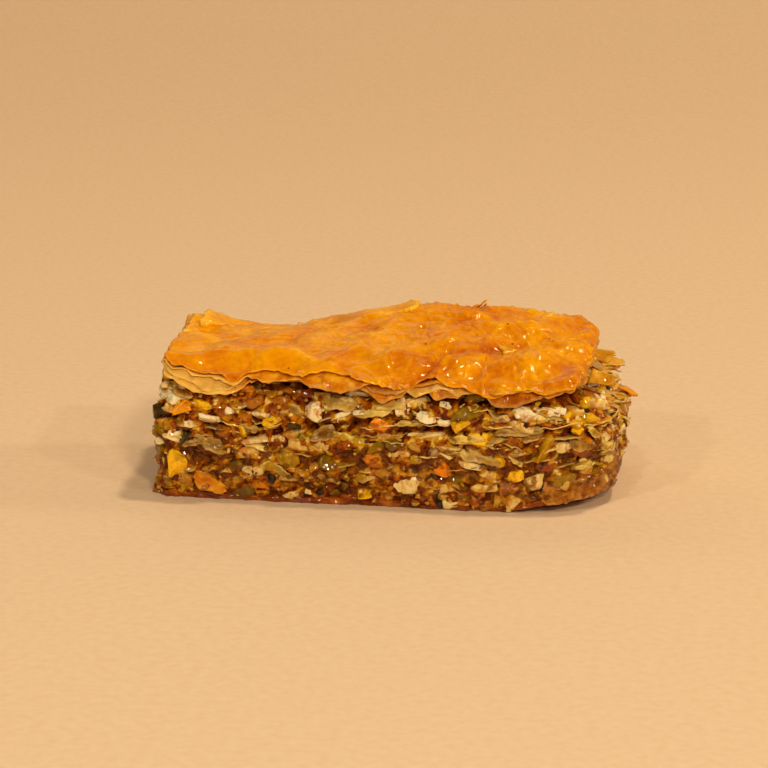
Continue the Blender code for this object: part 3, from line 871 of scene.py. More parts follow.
def ribbon(heap, start, length, level, look, dice, steps=0.7):
    # a torn strip of leaf lying level, its inner edge in the mash and its ragged edge at the cut side
    columns = max(5, int(length / steps) + 1)
    rows = look["rows"]
    u = np.linspace(0, 1, columns)
    along = start + u * length
    seed = dice.random() * 900
    torn = (lineNoise(along, 4.0, seed) + lineNoise(along, 1.2, seed + 1) * 0.6) * look["ragged"]
    ends = 1 - np.abs(2 * u - 1) ** (7 if length > 12 else 3)
    edge = (look["out"] + dice.uniform(-0.6, 0.4) * look["ragged"] + torn) * ends - look["inner"] * (1 - ends)
    t = np.linspace(0, 1, rows)
    out = -look["inner"] + (edge[:, None] + look["inner"]) * t
    slope = dice.uniform(*look["slope"])
    wave = lineNoise(along, 6.0, seed + 2)[:, None] * look["wave"]
    frill = lineNoise(along, 1.9, seed + 3)[:, None] * look["frill"] * t ** 2
    height = level(along)[:, None] + wave + frill + slope * t ** 1.5
    top = body.points(along[:, None], height, out)
    bottom = top.copy()
    top[..., 2] += look["thick"] / 2
    bottom[..., 2] -= look["thick"] / 2
    noteReach(np.repeat(along, rows), height.ravel(), out.ravel())
    # the outer edge is paler: a dry torn edge, with a painted highlight where it would catch the light
    heap.addSheet(top, bottom, smooth((t - 0.6) / 0.4) * look["paleEdgeAndHighlight"])


def bandLevel(name, share):
    # heights of a leaf at a share of a band's thickness
    def level(along):
        x, y, _ = np.moveaxis(body.points(along, midHeight, -1.0), -1, 0)
        low, high = underOf[name](x, y), topOf[name](x, y)
        return low + (high - low) * share
    return level


bandLeaf = {"leaves": 2, "inner": 2.6, "ragged": 0.7, "wave": 0.55, "thick": 0.24, "drift": 1.2, "tilt": 0.16,
            "rows": 5, "leftShare": 0.4}      # fewer of them show in the left half
filoBands = {
    "lower_pastry": {**bandLeaf, "length": (4, 12), "gap": (0.0, 12.0), "out": 0.25, "slope": (-0.9, 0.6),
                     "frill": 0.45, "paleEdgeAndHighlight": 0.3},
    "upper_pastry": {**bandLeaf, "length": (4, 15), "gap": (-1.0, 9.0), "out": 0.35, "slope": (-0.9, 0.7),
                     "frill": 0.5, "paleEdgeAndHighlight": 0.4},
}


def makeFiloBand(name, look, seed):
    heap = Heap()
    dice = random.Random(seed)
    for leaf in range(look["leaves"]):
        start = dice.uniform(0, 20)
        first = start
        while start < first + body.girth - 4:
            length = dice.uniform(*look["length"])
            x = body.points(start + length / 2, midHeight, 0.0)[0]
            if dice.random() > look["leftShare"] + (1 - look["leftShare"]) * smooth((x + 8) / 18):
                start += length * 0.7
                continue
            flat = bandLevel(name, (leaf + 0.5) / look["leaves"])
            drift, tilt = dice.uniform(-1, 1) * look["drift"], dice.uniform(-1, 1) * look["tilt"]

            def level(along, flat=flat, start=start, length=length, drift=drift, tilt=tilt):
                return flat(along) + drift + (along - start - length / 2) * tilt

            ribbon(heap, start, length, level, look, dice)
            start += length + dice.uniform(*look["gap"])
    heap.piece(name + "_leaves", soakedFilo, "soaked_pastry", [name])


for number, (name, look) in enumerate(filoBands.items()):
    makeFiloBand(name, look, 31 + number)

scraps = {"count": 90, "length": (3, 9), "inner": 2.2, "out": 0.2, "ragged": 0.8, "slope": (-2.4, 1.8),
          "wave": 0.5, "frill": 0.8, "thick": 0.2, "paleEdgeAndHighlight": 0.5, "rows": 5}


def makeScraps():
    # short torn leaves among the nuts
    heap = Heap()
    dice = random.Random(47)
    for _ in range(scraps["count"]):
        band = dice.choice(nutBands)
        tilt = dice.gauss(0, 0.24)
        start, length = dice.uniform(0, body.girth), dice.uniform(*scraps["length"])
        flat = bandLevel(band[0], dice.uniform(0.1, 0.95))

        def level(along, flat=flat, start=start, tilt=tilt, length=length):
            return flat(along) + (along - start - length / 2) * tilt

        ribbon(heap, start, length, level, scraps, dice, 0.6)
    heap.piece("filo_scraps", soakedFilo, "soaked_pastry")


makeScraps()

# leaves fried in butter at the end: amber, olive where the nuts tint them
ledgeFilo = filoLeaf("butteredEndFilo", [(0.25, "#9a6008"), (0.5, "#c48c1c"), (0.75, "#dcae40")],
                     "#ecc46c", 0.6)
ledge = {"leaves": 6, "x": 44.0, "beyond": 20.0, "length": (9, 22), "aside": (3, 18), "low": 19.8,
         "high": 25.6, "inner": 4.5, "out": 0.3, "ragged": 1.5, "rows": 7,
         "slope": (-1.2, 0.6), "wave": 0.7, "frill": 0.8, "thick": 0.3, "paleEdgeAndHighlight": 0.3}


def makeLedge():
    # flaky leaves that step out under the crust at the right end, one above another
    heap = Heap()
    dice = random.Random(53)
    middle = body.frontAt(ledge["x"]) + ledge["beyond"]
    for n in range(ledge["leaves"]):
        height = ledge["low"] + (ledge["high"] - ledge["low"]) * n / (ledge["leaves"] - 1)
        for side in (-1, 1):
            length = dice.uniform(*ledge["length"])
            start = middle + side * dice.uniform(*ledge["aside"]) - length / 2
            ribbon(heap, start, length, lambda along, height=height: height + 0.0 * along, ledge, dice, 0.6)
    heap.piece("right_end_leaves", ledgeFilo, "soaked_pastry")


makeLedge()
print("laid the leaves between the nuts")


# the soaked base

base = {"stations": 640, "layers": 3, "rowsPerLayer": 7, "groove": 0.35, "ragged": 0.8, "capRings": 4,
        "wrinkle": 0.9, "back": 1.6}


def makeBase():
    # thick wrinkled leaves one on another, sunk back where the nuts above stand out
    heap = Heap()
    along = body.around(base["stations"])
    rim = body.points(along, 2.0, -0.4)
    low = underOf["base_pastry"](rim[:, 0], rim[:, 1])
    high = topOf["base_pastry"](rim[:, 0], rim[:, 1])
    rows = base["layers"] * base["rowsPerLayer"] + 1
    share = np.linspace(0, 1, rows)
    phase = share * base["layers"]
    leaf = np.floor(np.minimum(phase, base["layers"] - 0.001))
    fade = 0.5 + 0.6 * lineNoise(along, 5.0, 84)[:, None]
    groove = -np.abs(np.cos(math.pi * phase)) ** 5 * base["groove"] * np.clip(fade, 0, 1)
    height = spread(low, high, share)
    out = np.zeros_like(height)
    for k in range(base["layers"]):
        own = (lineNoise(along, 4.0, 60 + k) + lineNoise(along, 1.4, 70 + k) * 0.5) * base["ragged"]
        out += np.where(leaf == k, own[:, None], 0)
    height = height + lineNoise(along, 4.0, 80)[:, None] * base["wrinkle"] * np.sin(math.pi * share)
    height = height + lineNoise(along, 1.6, 81)[:, None] * 0.25 * np.sin(math.pi * share * 3)
    x = rim[:, 0][:, None]
    sunk = smooth((share - 0.42 - 0.2 * lineNoise(along, 3.0, 86)[:, None]) / 0.3) * smooth((44 - x) / 8)
    out = -0.3 + out * 0.8 + groove - base["back"] * sunk
    cells = body.points(along[:, None], height, out).reshape(-1, 3)
    out += 0.25 * lumps(cells, 1.4, 88, 2).reshape(out.shape)
    wall = body.points(along[:, None], height, out)
    noteReach(np.repeat(along, rows), height.ravel(), out.ravel())
    middle = body.middleLine(along)

    below = capOf(wall[:, 0], middle, underOf["base_pastry"], base["capRings"])
    above = capOf(wall[:, -1], middle, topOf["base_pastry"], base["capRings"])
    heap.addRound(np.concatenate([below, wall, above[:, ::-1]], 1))
    heap.piece("base_leaves", baseFilo, "base_pastry", ["base_pastry"], weld=0.01)


makeBase()
print("laid the soaked base")


# the crust

# the hidden underside keeps only one ring in every `hiddenStep`
skinGrid = {"rings": 56, "hemRows": 14, "thick": 0.3, "hiddenStep": 6}
crumple = [      # cells of crumpled leaf: size, heading, stretch, ridge height at the left and the right
    {"size": 12.0, "heading": 20.0, "stretch": 1.6, "deep": (0.9, 1.0), "seed": 21},
    {"size": 6.0, "heading": -30.0, "stretch": 2.2, "deep": (0.35, 0.45), "seed": 22},
    {"size": 3.2, "heading": 15.0, "stretch": 2.2, "deep": (0.1, 0.2), "seed": 23},
    {"size": 1.6, "heading": 60.0, "stretch": 2.0, "deep": (0.04, 0.06), "seed": 24},
]
wrinkles = [      # long fine wrinkles of the top leaf: spacing, heading, how narrow, height left and right
    {"size": 9.0, "heading": 25.0, "stretch": 3.2, "narrow": 0.06, "deep": (0.2, 0.42), "seed": 41},
    {"size": 6.0, "heading": -50.0, "stretch": 3.0, "narrow": 0.07, "deep": (0.14, 0.36), "seed": 43},
    {"size": 5.0, "heading": 75.0, "stretch": 2.4, "narrow": 0.08, "deep": (0.08, 0.26), "seed": 45},
    {"size": 3.4, "heading": 5.0, "stretch": 3.0, "narrow": 0.1, "deep": (0.04, 0.12), "seed": 47},
]
swell = {"size": 8.0, "deep": 0.3}
# the torn dimple; its "browner" darkens the hollow as painted shade
crater = {"x": 25.6, "y": -8.2, "wide": 3.4, "deep": 1.7, "browner": 0.22}
star = {"x": 30.5, "y": -5.5, "arms": 9, "reach": 10.0, "deep": 0.3}
valleys = [      # creases across the crust: start, end, half width and depth
    {"from": (-29.0, -22.0), "to": (-26.0, -13.0), "wide": 1.4, "deep": 0.35},
    {"from": (-11.0, -18.0), "to": (-22.0, -3.0), "wide": 1.5, "deep": 0.6},
    {"from": (-22.0, -3.0), "to": (-14.0, 10.0), "wide": 1.5, "deep": 0.4},
    {"from": (10.0, -21.0), "to": (15.0, -9.0), "wide": 1.0, "deep": 0.7},
    {"from": (20.0, -21.0), "to": (26.0, -10.0), "wide": 1.2, "deep": 0.6},
    {"from": (-20.0, 2.0), "to": (4.0, -1.0), "wide": 1.5, "deep": 0.35},
    {"from": (12.0, 3.0), "to": (34.0, 8.0), "wide": 1.6, "deep": 0.5},
]


def reliefAt(flat):
    # the fine form of the glazed top: crumpled cells, soft swells, named creases and a torn dimple
    x, y = flat[:, 0], flat[:, 1]
    deep3 = np.column_stack([x, y, x * 0])
    toRight = smooth((x + 8) / 22)
    relief = lumps(deep3, swell["size"], 5, 2) * swell["deep"]
    for cells in crumple:
        warp = np.column_stack([lumps(deep3, cells["size"] * 0.9, cells["seed"] + 40, 2),
                                lumps(deep3, cells["size"] * 0.9, cells["seed"] + 60, 2)])
        bent = flat + warp * cells["size"] * 0.3
        heading = math.radians(cells["heading"])
        lengthways = bent[:, 0] * math.cos(heading) + bent[:, 1] * math.sin(heading)
        sideways = bent[:, 1] * math.cos(heading) - bent[:, 0] * math.sin(heading)
        stretched = np.column_stack([lengthways / cells["stretch"], sideways])
        dish = dishes(stretched, cells["size"] * 0.75, cells["seed"])
        left, right = cells["deep"]
        relief += (dish - 0.3) * (left + (right - left) * toRight)
    for line in wrinkles:
        heading = math.radians(line["heading"])
        lengthways = x * math.cos(heading) + y * math.sin(heading)
        sideways = y * math.cos(heading) - x * math.sin(heading)
        stretched = np.column_stack([lengthways / line["stretch"], sideways, x * 0])
        wave = lumps(stretched, line["size"], line["seed"], 3)
        left, right = line["deep"]
        relief += np.exp(-(wave / line["narrow"]) ** 2) * (left + (right - left) * toRight)
    for line in valleys:
        a, b = np.array(line["from"]), np.array(line["to"])
        way = b - a
        share = np.clip(((x - a[0]) * way[0] + (y - a[1]) * way[1]) / (way @ way), 0, 1)
        off = np.hypot(x - a[0] - way[0] * share, y - a[1] - way[1] * share)
        fade = np.sin(math.pi * np.clip(share * 0.8 + 0.1, 0, 1))
        relief -= line["deep"] * fade * np.exp(-off / line["wide"])
        relief += line["deep"] * 0.5 * fade * np.exp(-((off - line["wide"] * 1.8) / line["wide"]) ** 2)
    away = np.hypot((x - crater["x"]) * 0.8, y - crater["y"])
    relief -= crater["deep"] * np.exp(-(away / crater["wide"]) ** 2)
    angle = np.arctan2(y - star["y"], x - star["x"])
    away = np.hypot(x - star["x"], y - star["y"])
    bent = angle * star["arms"] / 2 + 1.4 * np.sin(angle * 2) + lumps(deep3, 5.0, 31, 1)
    arms = 1 - np.abs(np.sin(bent))
    fade = np.exp(-((away - 5.0) / star["reach"] * 1.6) ** 2) * smooth(away / 3)
    relief += star["deep"] * arms ** 1.5 * fade
    return relief


def leafPath(inner, look, share):
    # a leaf of the crust from `inner` mm inside the rim out to its torn edge, bending down over the rim;
    # share runs from 0 at the inner end to 1 at the torn edge
    along = lid.lengthAt[:-1]
    starts, aways = lid.starts, lid.aways
    seed = look["seed"]
    rimX = starts[:, 0] + aways[:, 0] * lid.reach.max(1)
    bend = look["bend"] * (1 - 0.6 * smooth((-rimX - 38) / 6))      # a tighter edge at the left end
    reach = lid.reach.max(1) - look["inset"] + lineNoise(along, 7.0, seed + 4) * look["sway"]
    wide = look["tilt"][0] + (look["tilt"][1] - look["tilt"][0]) * (0.5 + 0.5 * lineNoise(along, 14.0, seed))
    steep = np.radians(wide + look["tiltAt"](along))
    torn = look["hemAt"](along)
    torn = torn - look["bite"] * np.abs(lineNoise(along, look["biteSize"], seed + 1)) * 1.6
    torn = torn + lineNoise(along, 2.1, seed + 2) * look["ragged"]
    torn = torn + lineNoise(along, 0.8, seed + 3) * look["ragged"] * 0.5
    arc = bend * steep
    flatEnd = reach - bend * np.sin(np.minimum(steep, 1.5))
    # the solid's own edge slopes, so heights are taken this far inside it
    hold = 0.4 + 3.2 * smooth((rimX - 34) / 8) + 2.4 * smooth((-rimX - 38) / 6)
    begin = np.zeros(lid.count) if inner is None else flatEnd - inner
    total = np.maximum(flatEnd - begin + arc + torn, 1.0)
    q = begin[:, None] + total[:, None] * share
    past = np.maximum(q - flatEnd[:, None], 0)
    theta = np.minimum(past / bend[:, None], steep[:, None])
    straight = np.maximum(past - arc[:, None], 0)
    bent = bend[:, None]
    level = np.where(past > 0, flatEnd[:, None] + bent * np.sin(theta) + straight * np.cos(theta), q)
    drop = bent * (1 - np.cos(theta)) + straight * np.sin(theta)
    flat = starts[:, None, :] + aways[:, None, :] * level[..., None]
    held = starts[:, None, :] + aways[:, None, :] * np.minimum(level, (flatEnd - hold)[:, None])[..., None]
    unrolled = starts[:, None, :] + aways[:, None, :] * q[..., None]
    z = topOf[crustName](held[..., 0], held[..., 1]) - drop - look["under"]
    toEdge = total[:, None] * (1 - share)
    away3 = np.concatenate([aways, np.zeros((lid.count, 1))], 1)
    across = away3[:, None, :] * np.sin(theta)[..., None] + np.array([0, 0, 1.0]) * np.cos(theta)[..., None]
    points = np.concatenate([flat, z[..., None]], -1)
    frill = lineNoise(along, look["frillSize"], seed + 5)[:, None] * look["frill"]
    lift = frill * np.exp(-toEdge / 1.4) + look["flare"] * np.exp(-toEdge / 0.6)
    lift = lift + lineNoise(along, 3.6, 99)[:, None] * 0.4 * np.exp(-toEdge / 3.5)
    shape = points.shape[:2]
    lift = lift + reliefAt(unrolled.reshape(-1, 2)).reshape(shape) * look["folds"]
    return points + across * lift[..., None], across, toEdge, unrolled


def roundTheRim(heights, other):
    # a value along the crust's rim: through (x, value) points on the front, `other` on the other sides
    xs, values = zip(*heights)

    def value(along):
        x = lid.starts[:, 0] + lid.aways[:, 0] * lid.reach.max(1)
        facing = smooth((-lid.normal[:, 1] - 0.45) / 0.4)
        return np.interp(x, xs, values) * facing + other * (1 - facing)
    return value


skin = {"inset": 0.0, "sway": 0.2, "seed": 101, "tilt": (72, 88), "bend": 2.0, "bite": 0.5, "biteSize": 4.0,
        "ragged": 0.22, "under": 0.0, "frill": 0.35, "frillSize": 1.9, "flare": 0.22, "folds": 1.0,
        "tiltAt": roundTheRim([(-50, 8), (-40, 0), (50, 0)], 4.0),
        "hemAt": roundTheRim([(-49, 0.6), (-47, -0.6), (-45, -1.2), (-33, -1.2), (-31.5, -0.2),
                              (-29.5, 0.8), (-27.8, -2.6), (-24, -3.8), (-20.7, -4.2), (-18, -3.2),
                              (-15.2, -1.8), (-11, -3.6), (-8.7, -3.0), (-5.2, -1.8), (-2.4, -0.6),
                              (1.7, 0.2), (5.9, 0.6), (8, 0.2), (10.9, -1.6), (12.4, -1.8), (15.7, 0),
                              (19.6, 0), (22, 0.6), (24, 1.4), (26, 1.6), (29, 0.4), (32.6, -0.6),
                              (34, -0.6), (36, 0.4), (39, 0.6), (43, 0.4), (46, -0.4)], 1.2)}


def makeSkin():
    # the glazed top leaf, from the middle of the crust to its torn hem
    heap = Heap()
    rings, hemRows, step = skinGrid["rings"], skinGrid["hemRows"], skinGrid["hiddenStep"]
    share = np.concatenate([np.linspace(0, 0.9, rings), np.linspace(0.9, 1, hemRows + 1)[1:]])
    points, across, toEdge, unrolled = leafPath(None, skin, share)
    under = points - across * skinGrid["thick"]
    under[:, :-hemRows] -= across[:, :-hemRows] * 0.1
    kept = list(range(0, rings - step, step)) + list(range(rings - step, len(share)))
    under = under[:, kept]
    whole = np.concatenate([points, under[:, ::-1]], 1)
    # paler on the rises and deeper in the creases: partly where the leaf lies clear of the one below, partly
    # painted light on the rises and painted shade in the creases
    tone = 0.12 * np.clip(reliefAt(unrolled.reshape(-1, 2)), -1, 1).reshape(points.shape[:2])
    tone -= 0.05 * smooth((unrolled[..., 0] + 4) / 20)      # baked a little darker to the right
    away = np.hypot((unrolled[..., 0] - crater["x"]) * 0.8, unrolled[..., 1] - crater["y"])
    # painted shade: the hollow of the torn dimple is drawn browner
    tone -= crater["browner"] * np.exp(-(away / crater["wide"]) ** 2)
    # painted shade: deeper amber where the glaze turns down over the rim
    tone -= 0.12 * np.exp(-toEdge / 2.0)      # deeper amber where it turns down
    # a pale line along the torn hem: the leaf's thin edge, with a painted highlight on it
    marks = np.concatenate([tone + 0.25 * np.exp(-toEdge / 0.4), np.zeros(under.shape[:2])], 1)
    heap.addRound(whole, marks)
    heap.piece("crust_glaze", crustGlaze, "baked_crust", [crustName], weld=0.01)


makeSkin()

underLeaves = [      # the leaves under the glaze, from the top down, and the way each front edge hangs
    {"hem": [(-48, -0.6), (-44, 0.2), (-38, 0.6), (-33, 0.3), (-30, 2.2), (-27.5, -0.4), (-24, 0.4),
             (-20, -0.2), (-16, -0.8), (-13.5, 1.0), (-10, 2.0), (-6, 1.8), (-2, 0.6), (3, -0.4), (8, 0.6),
             (14, -0.4), (20, 0.2), (26, 2.0), (34, 0.4), (40, 0.6), (46, 0.2)],
     "other": 1.6, "tilt": (40, 78)},
    {"hem": [(-48, 0.8), (-43, 2.6), (-34, 3.2), (-29, 1.8), (-26, -2.5), (-16, -3.5), (-10, 0.2),
             (-5, -1.6), (-1, 1.8), (3, 2.6), (7, 0.8), (10, 2.2), (14, 1.4), (19, 2.0), (23, 0.0),
             (26, 3.8), (30, 4.2), (34, 2.0), (38, 0.2), (42, 1.4), (46, 0.4)],
     "other": 2.0, "tilt": (45, 80)},
    {"hem": [(-48, 1.2), (-40, 3.6), (-31, 3.8), (-27, 0.8), (-22, -4.0), (-8, -4.0), (-3, 0.6), (2, 3.6),
             (6, 2.0), (9, -1.0), (13, 2.8), (18, 2.6), (22, -1.5), (32, -2.0), (38, 1.6), (42, 0.6),
             (46, 0.0)],
     "other": 2.2, "tilt": (40, 75)},
    {"hem": [(-48, 0.6), (-38, 3.2), (-30, 1.2), (-26, -4.5), (-4, -5.0), (4, 0.8), (12, -1.0), (24, -3.5),
             (36, -1.0), (46, 0.0)],
     "other": 2.0, "tilt": (35, 70)},
]
leafCoat = {"inner": 9.0, "thick": 0.2, "spacing": 0.5, "inset": 0.3}
underLook = {"sway": 0.45, "bend": 1.8, "bite": 0.9, "biteSize": 5.0, "ragged": 0.22, "frill": 0.5,
             "frillSize": 2.5, "flare": 0.15, "folds": 0.9,
             "tiltAt": roundTheRim([(-50, -15), (-33, -11), (-28, 0), (50, 0)], 0.0)}


def makeCrustLeaves():
    # each leaf lies a little further in and lower than the one above, with its own torn edge
    heap = Heap()
    share = np.concatenate([np.linspace(0, 0.55, 2)[:-1], np.linspace(0.55, 1, 8)])
    for n, leaf in enumerate(underLeaves):
        look = {**underLook, "inset": leafCoat["inset"] * (n + 1), "under": (n + 1) * leafCoat["spacing"],
                "seed": 120 + 10 * n, "tilt": leaf["tilt"], "hemAt": roundTheRim(leaf["hem"], leaf["other"])}
        points, across, toEdge, _ = leafPath(leafCoat["inner"], look, share)
        own = lumps(points.reshape(-1, 3), 2.6, 130 + n, 2).reshape(points.shape[:2]) * 0.16
        points = points + across * own[..., None]
        bottom = points - across * leafCoat["thick"]
        # paler at the torn edge, where the leaf is dry and thin and where a highlight is painted along it;
        # the sheets at the left end are pale themselves
        pale = 0.4 * np.exp(-toEdge / 0.3) + 0.6 * smooth((-points[..., 0] - 26) / 8)
        if n == 1:      # one sheet in the middle has stayed pale
            pale = pale + 0.6 * np.exp(-((points[..., 0] - 13) / 8) ** 2)
        heap.addSheet(points, bottom, np.clip(pale, 0, 1), wrap=True)
    heap.piece("crust_leaves", crustLeaf, "baked_crust")


makeCrustLeaves()

heart = {"inset": 5.0, "top": 1.6, "rings": 12}


def makeCrustHeart():
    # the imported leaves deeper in, which close the crust from below
    heap = Heap()
    starts, aways = lid.starts[::2], lid.aways[::2]
    reach = lid.reach.max(1)[::2] - heart["inset"]
    level = reach[:, None] * np.linspace(0, 1, heart["rings"])
    flat = starts[:, None, :] + aways[:, None, :] * level[..., None]
    top = topOf[crustName](flat[..., 0], flat[..., 1]) - heart["top"]
    low = underOf[crustName](flat[..., 0], flat[..., 1]) - 0.2
    low += lumps(np.column_stack([flat.reshape(-1, 2), low.ravel()]), 4.0, 9, 2).reshape(low.shape) * 0.5
    whole = np.concatenate([np.concatenate([flat, top[..., None]], -1),
                            np.concatenate([flat, low[..., None]], -1)[:, ::-1]], 1)
    heap.addRound(whole)
    heap.piece("crust_heart", crustLeaf, "baked_crust", weld=0.01)


makeCrustHeart()

# loose flakes of the top leaf: place, heading in degrees, length, width, rise at the root and at the tip
plies = {"curl": 0.0, "taper": 0.2, "ply": True}      # a step of several leaves
flakes = [
    {**plies, "at": (-8.0, 12.0), "heading": 3, "long": 12.4, "wide": 9.0, "rise": (-0.1, 0.8), "taper": 0.1},
    {"at": (15.6, 12.6), "heading": 10, "long": 4.4, "wide": 0.9, "rise": (0.0, 1.2), "curl": 0.3,
     "taper": 0.65, "ply": False},
    {**plies, "at": (30.4, -6.0), "heading": 205, "long": 5.0, "wide": 4.4, "rise": (-0.1, 0.8),
     "taper": 0.0},
    {**plies, "at": (-38.0, 8.0), "heading": 180, "long": 8.6, "wide": 12.0, "rise": (-0.2, 1.0),
     "taper": 0.0},
    {**plies, "at": (-36.0, 12.5), "heading": 178, "long": 7.4, "wide": 11.0, "rise": (0.2, 2.0),
     "taper": 0.0},
    {**plies, "at": (39.0, 3.0), "heading": 5, "long": 5.6, "wide": 5.0, "rise": (-0.2, 0.7), "taper": 0.1},
    {**plies, "at": (-20.0, 14.0), "heading": 95, "long": 5.0, "wide": 7.0, "rise": (-0.1, 0.6)},
    {**plies, "at": (8.0, 15.0), "heading": 80, "long": 4.5, "wide": 8.0, "rise": (-0.1, 0.5)},
    {**plies, "at": (30.0, 13.5), "heading": 70, "long": 5.0, "wide": 6.0, "rise": (-0.1, 0.6)},
]


flakeMesh = {"along": 0.4, "across": 0.45, "thick": 0.2}


def makeFlakes():
    # each flake follows the glaze below, ragged at its tip and sides
    heap = Heap()
    for number, flake in enumerate(flakes):
        columns = max(8, int(flake["long"] / flakeMesh["along"]))
        rows = max(6, int(flake["wide"] / flakeMesh["across"]))
        u = np.linspace(0, 1, columns)
        v = np.linspace(-1, 1, rows)
        seed = 200 + number * 9
        tip = 1 + 0.12 * lineNoise(v * flake["wide"] / 2, 1.5, seed)
        side = 1 + 0.16 * lineNoise(u * flake["long"], 2.0, seed + 1)
        narrow = flake["taper"]
        taper = (1 - narrow + narrow * np.sqrt(np.clip(u * 2.2, 0, 1))) * side
        lengthways = u[:, None] * tip * flake["long"]
        sideways = v * flake["wide"] / 2 * taper[:, None]
        turn = math.radians(flake["heading"])
        x = flake["at"][0] + lengthways * math.cos(turn) - sideways * math.sin(turn)
        y = flake["at"][1] + lengthways * math.sin(turn) + sideways * math.cos(turn)
        flat = np.column_stack([x.ravel(), y.ravel()])
        ground = topOf[crustName](flat[:, 0], flat[:, 1]) + reliefAt(flat)
        ground = ground.reshape(x.shape)
        root, end = flake["rise"]
        rise = root - 0.25 + (end - root + 0.25) * u[:, None] ** 1.4 + flake["curl"] * (u[:, None] * v) ** 2
        rise = rise + 0.12 * lumps(np.column_stack([flat, flat[:, 0] * 0]), 2.0, seed + 3).reshape(x.shape)
        top = np.stack([x, y, ground + rise + 0.12], -1)
        bottom = top - np.array([0, 0, flakeMesh["thick"]])
        if flake["ply"]:      # closed down to the glaze below
            bottom[..., 2] = np.minimum(bottom[..., 2], ground - 0.35)
        heap.addSheet(top, bottom, 0.22 * np.abs(v) ** 6 + 0.25 * u[:, None] ** 8)
    heap.piece("crust_flakes", crustGlaze, "baked_crust")


makeFlakes()

chips = {      # broken bits held by one end: where the root and the tip are, width at both, thickness
    "crust_chips": [
        {"root": (50.6, 9.0, 20.6), "tip": (53.6, 8.0, 19.2), "wide": (5.4, 1.6), "thick": 0.6,
         "up": (0.1, 0.2, 1.0)},
        {"root": (-40.0, -22.4, 21.0), "tip": (-43.4, -23.4, 19.2), "wide": (2.6, 1.0), "thick": 0.4,
         "up": (0, -1, 0.3)},
        {"root": (18.6, 14.4, 36.0), "tip": (19.6, 14.2, 37.2), "wide": (0.6, 0.3), "thick": 0.3,
         "up": (0, -1, 0)}],
    "end_scraps": [
        {"root": (43.6, 4.0, 29.2), "tip": (48.6, 1.6, 29.0), "wide": (2.6, 3.4), "thick": 0.4,
         "up": (-0.5, -0.5, 1.0)},
        {"root": (44.6, -6.0, 26.6), "tip": (49.6, -7.0, 25.8), "wide": (3.4, 2.2), "thick": 0.3,
         "up": (0.1, -0.8, 0.6)},
        {"root": (45.6, 12.0, 25.6), "tip": (50.4, 13.0, 25.2), "wide": (3.6, 2.6), "thick": 0.4,
         "up": (0.2, -0.3, 1.0)}],
}
chipFinish = {"crust_chips": (crustGlaze, "baked_crust"), "end_scraps": (ledgeFilo, "soaked_pastry")}


def makeChips(name):
    # small stiff bits, each a bowed strip from its root to its tip
    heap = Heap()
    for number, chip in enumerate(chips[name]):
        root, tip, up = (np.array(chip[key], float) for key in ("root", "tip", "up"))
        way = (tip - root) / np.linalg.norm(tip - root)
        side = np.cross(way, up / np.linalg.norm(up))
        side /= np.linalg.norm(side)
        up = np.cross(side, way)
        u, v = np.linspace(0, 1, 14), np.linspace(-1, 1, 11)
        wide = chip["wide"][0] + (chip["wide"][1] - chip["wide"][0]) * u
        wide = wide * (1 + 0.2 * lineNoise(u * 5, 1.2, 260 + number))
        length = np.linalg.norm(tip - root) * (1 + 0.15 * lineNoise(v * 3, 1.4, 270 + number))
        flat = root + way * (u[:, None] * length)[..., None] + side * (v * wide[:, None] / 2)[..., None]
        bow = 0.35 * lumps(flat.reshape(-1, 3), 2.2, 280 + number, 2).reshape(flat.shape[:2])
        top = flat + up * (bow + chip["thick"] / 2)[..., None]
        heap.addSheet(top, flat + up * (bow - chip["thick"] / 2)[..., None])
    material, slotName = chipFinish[name]
    heap.piece(name, material, slotName)


for name in chips:
    makeChips(name)
print("laid the crust")


# the mash of fine nuts and syrup that binds the body

mash = {"rows": 78, "stations": 840, "below": 0.8, "gaps": 1.6, "gapSize": 4.0, "grain": 1.7,
        "grainDepth": 0.9, "fine": 0.8, "fineDepth": 0.4, "foot": 0.5, "roof": 0.5, "capRings": 4,
        "tucked": -2.8}


def overNuts(rounds):
    # how far out the nuts reach, with the small gaps bridged and smoothed
    table = reached.copy()
    for _ in range(rounds):
        table = np.maximum.reduce([table, np.roll(table, 1, 0), np.roll(table, -1, 0),
                                   np.roll(table, 1, 1), np.roll(table, -1, 1)])
    for _ in range(rounds * 2):
        table = (table * 2 + np.roll(table, 1, 0) + np.roll(table, -1, 0)
                 + np.roll(table, 1, 1) + np.roll(table, -1, 1)) / 6
    return table


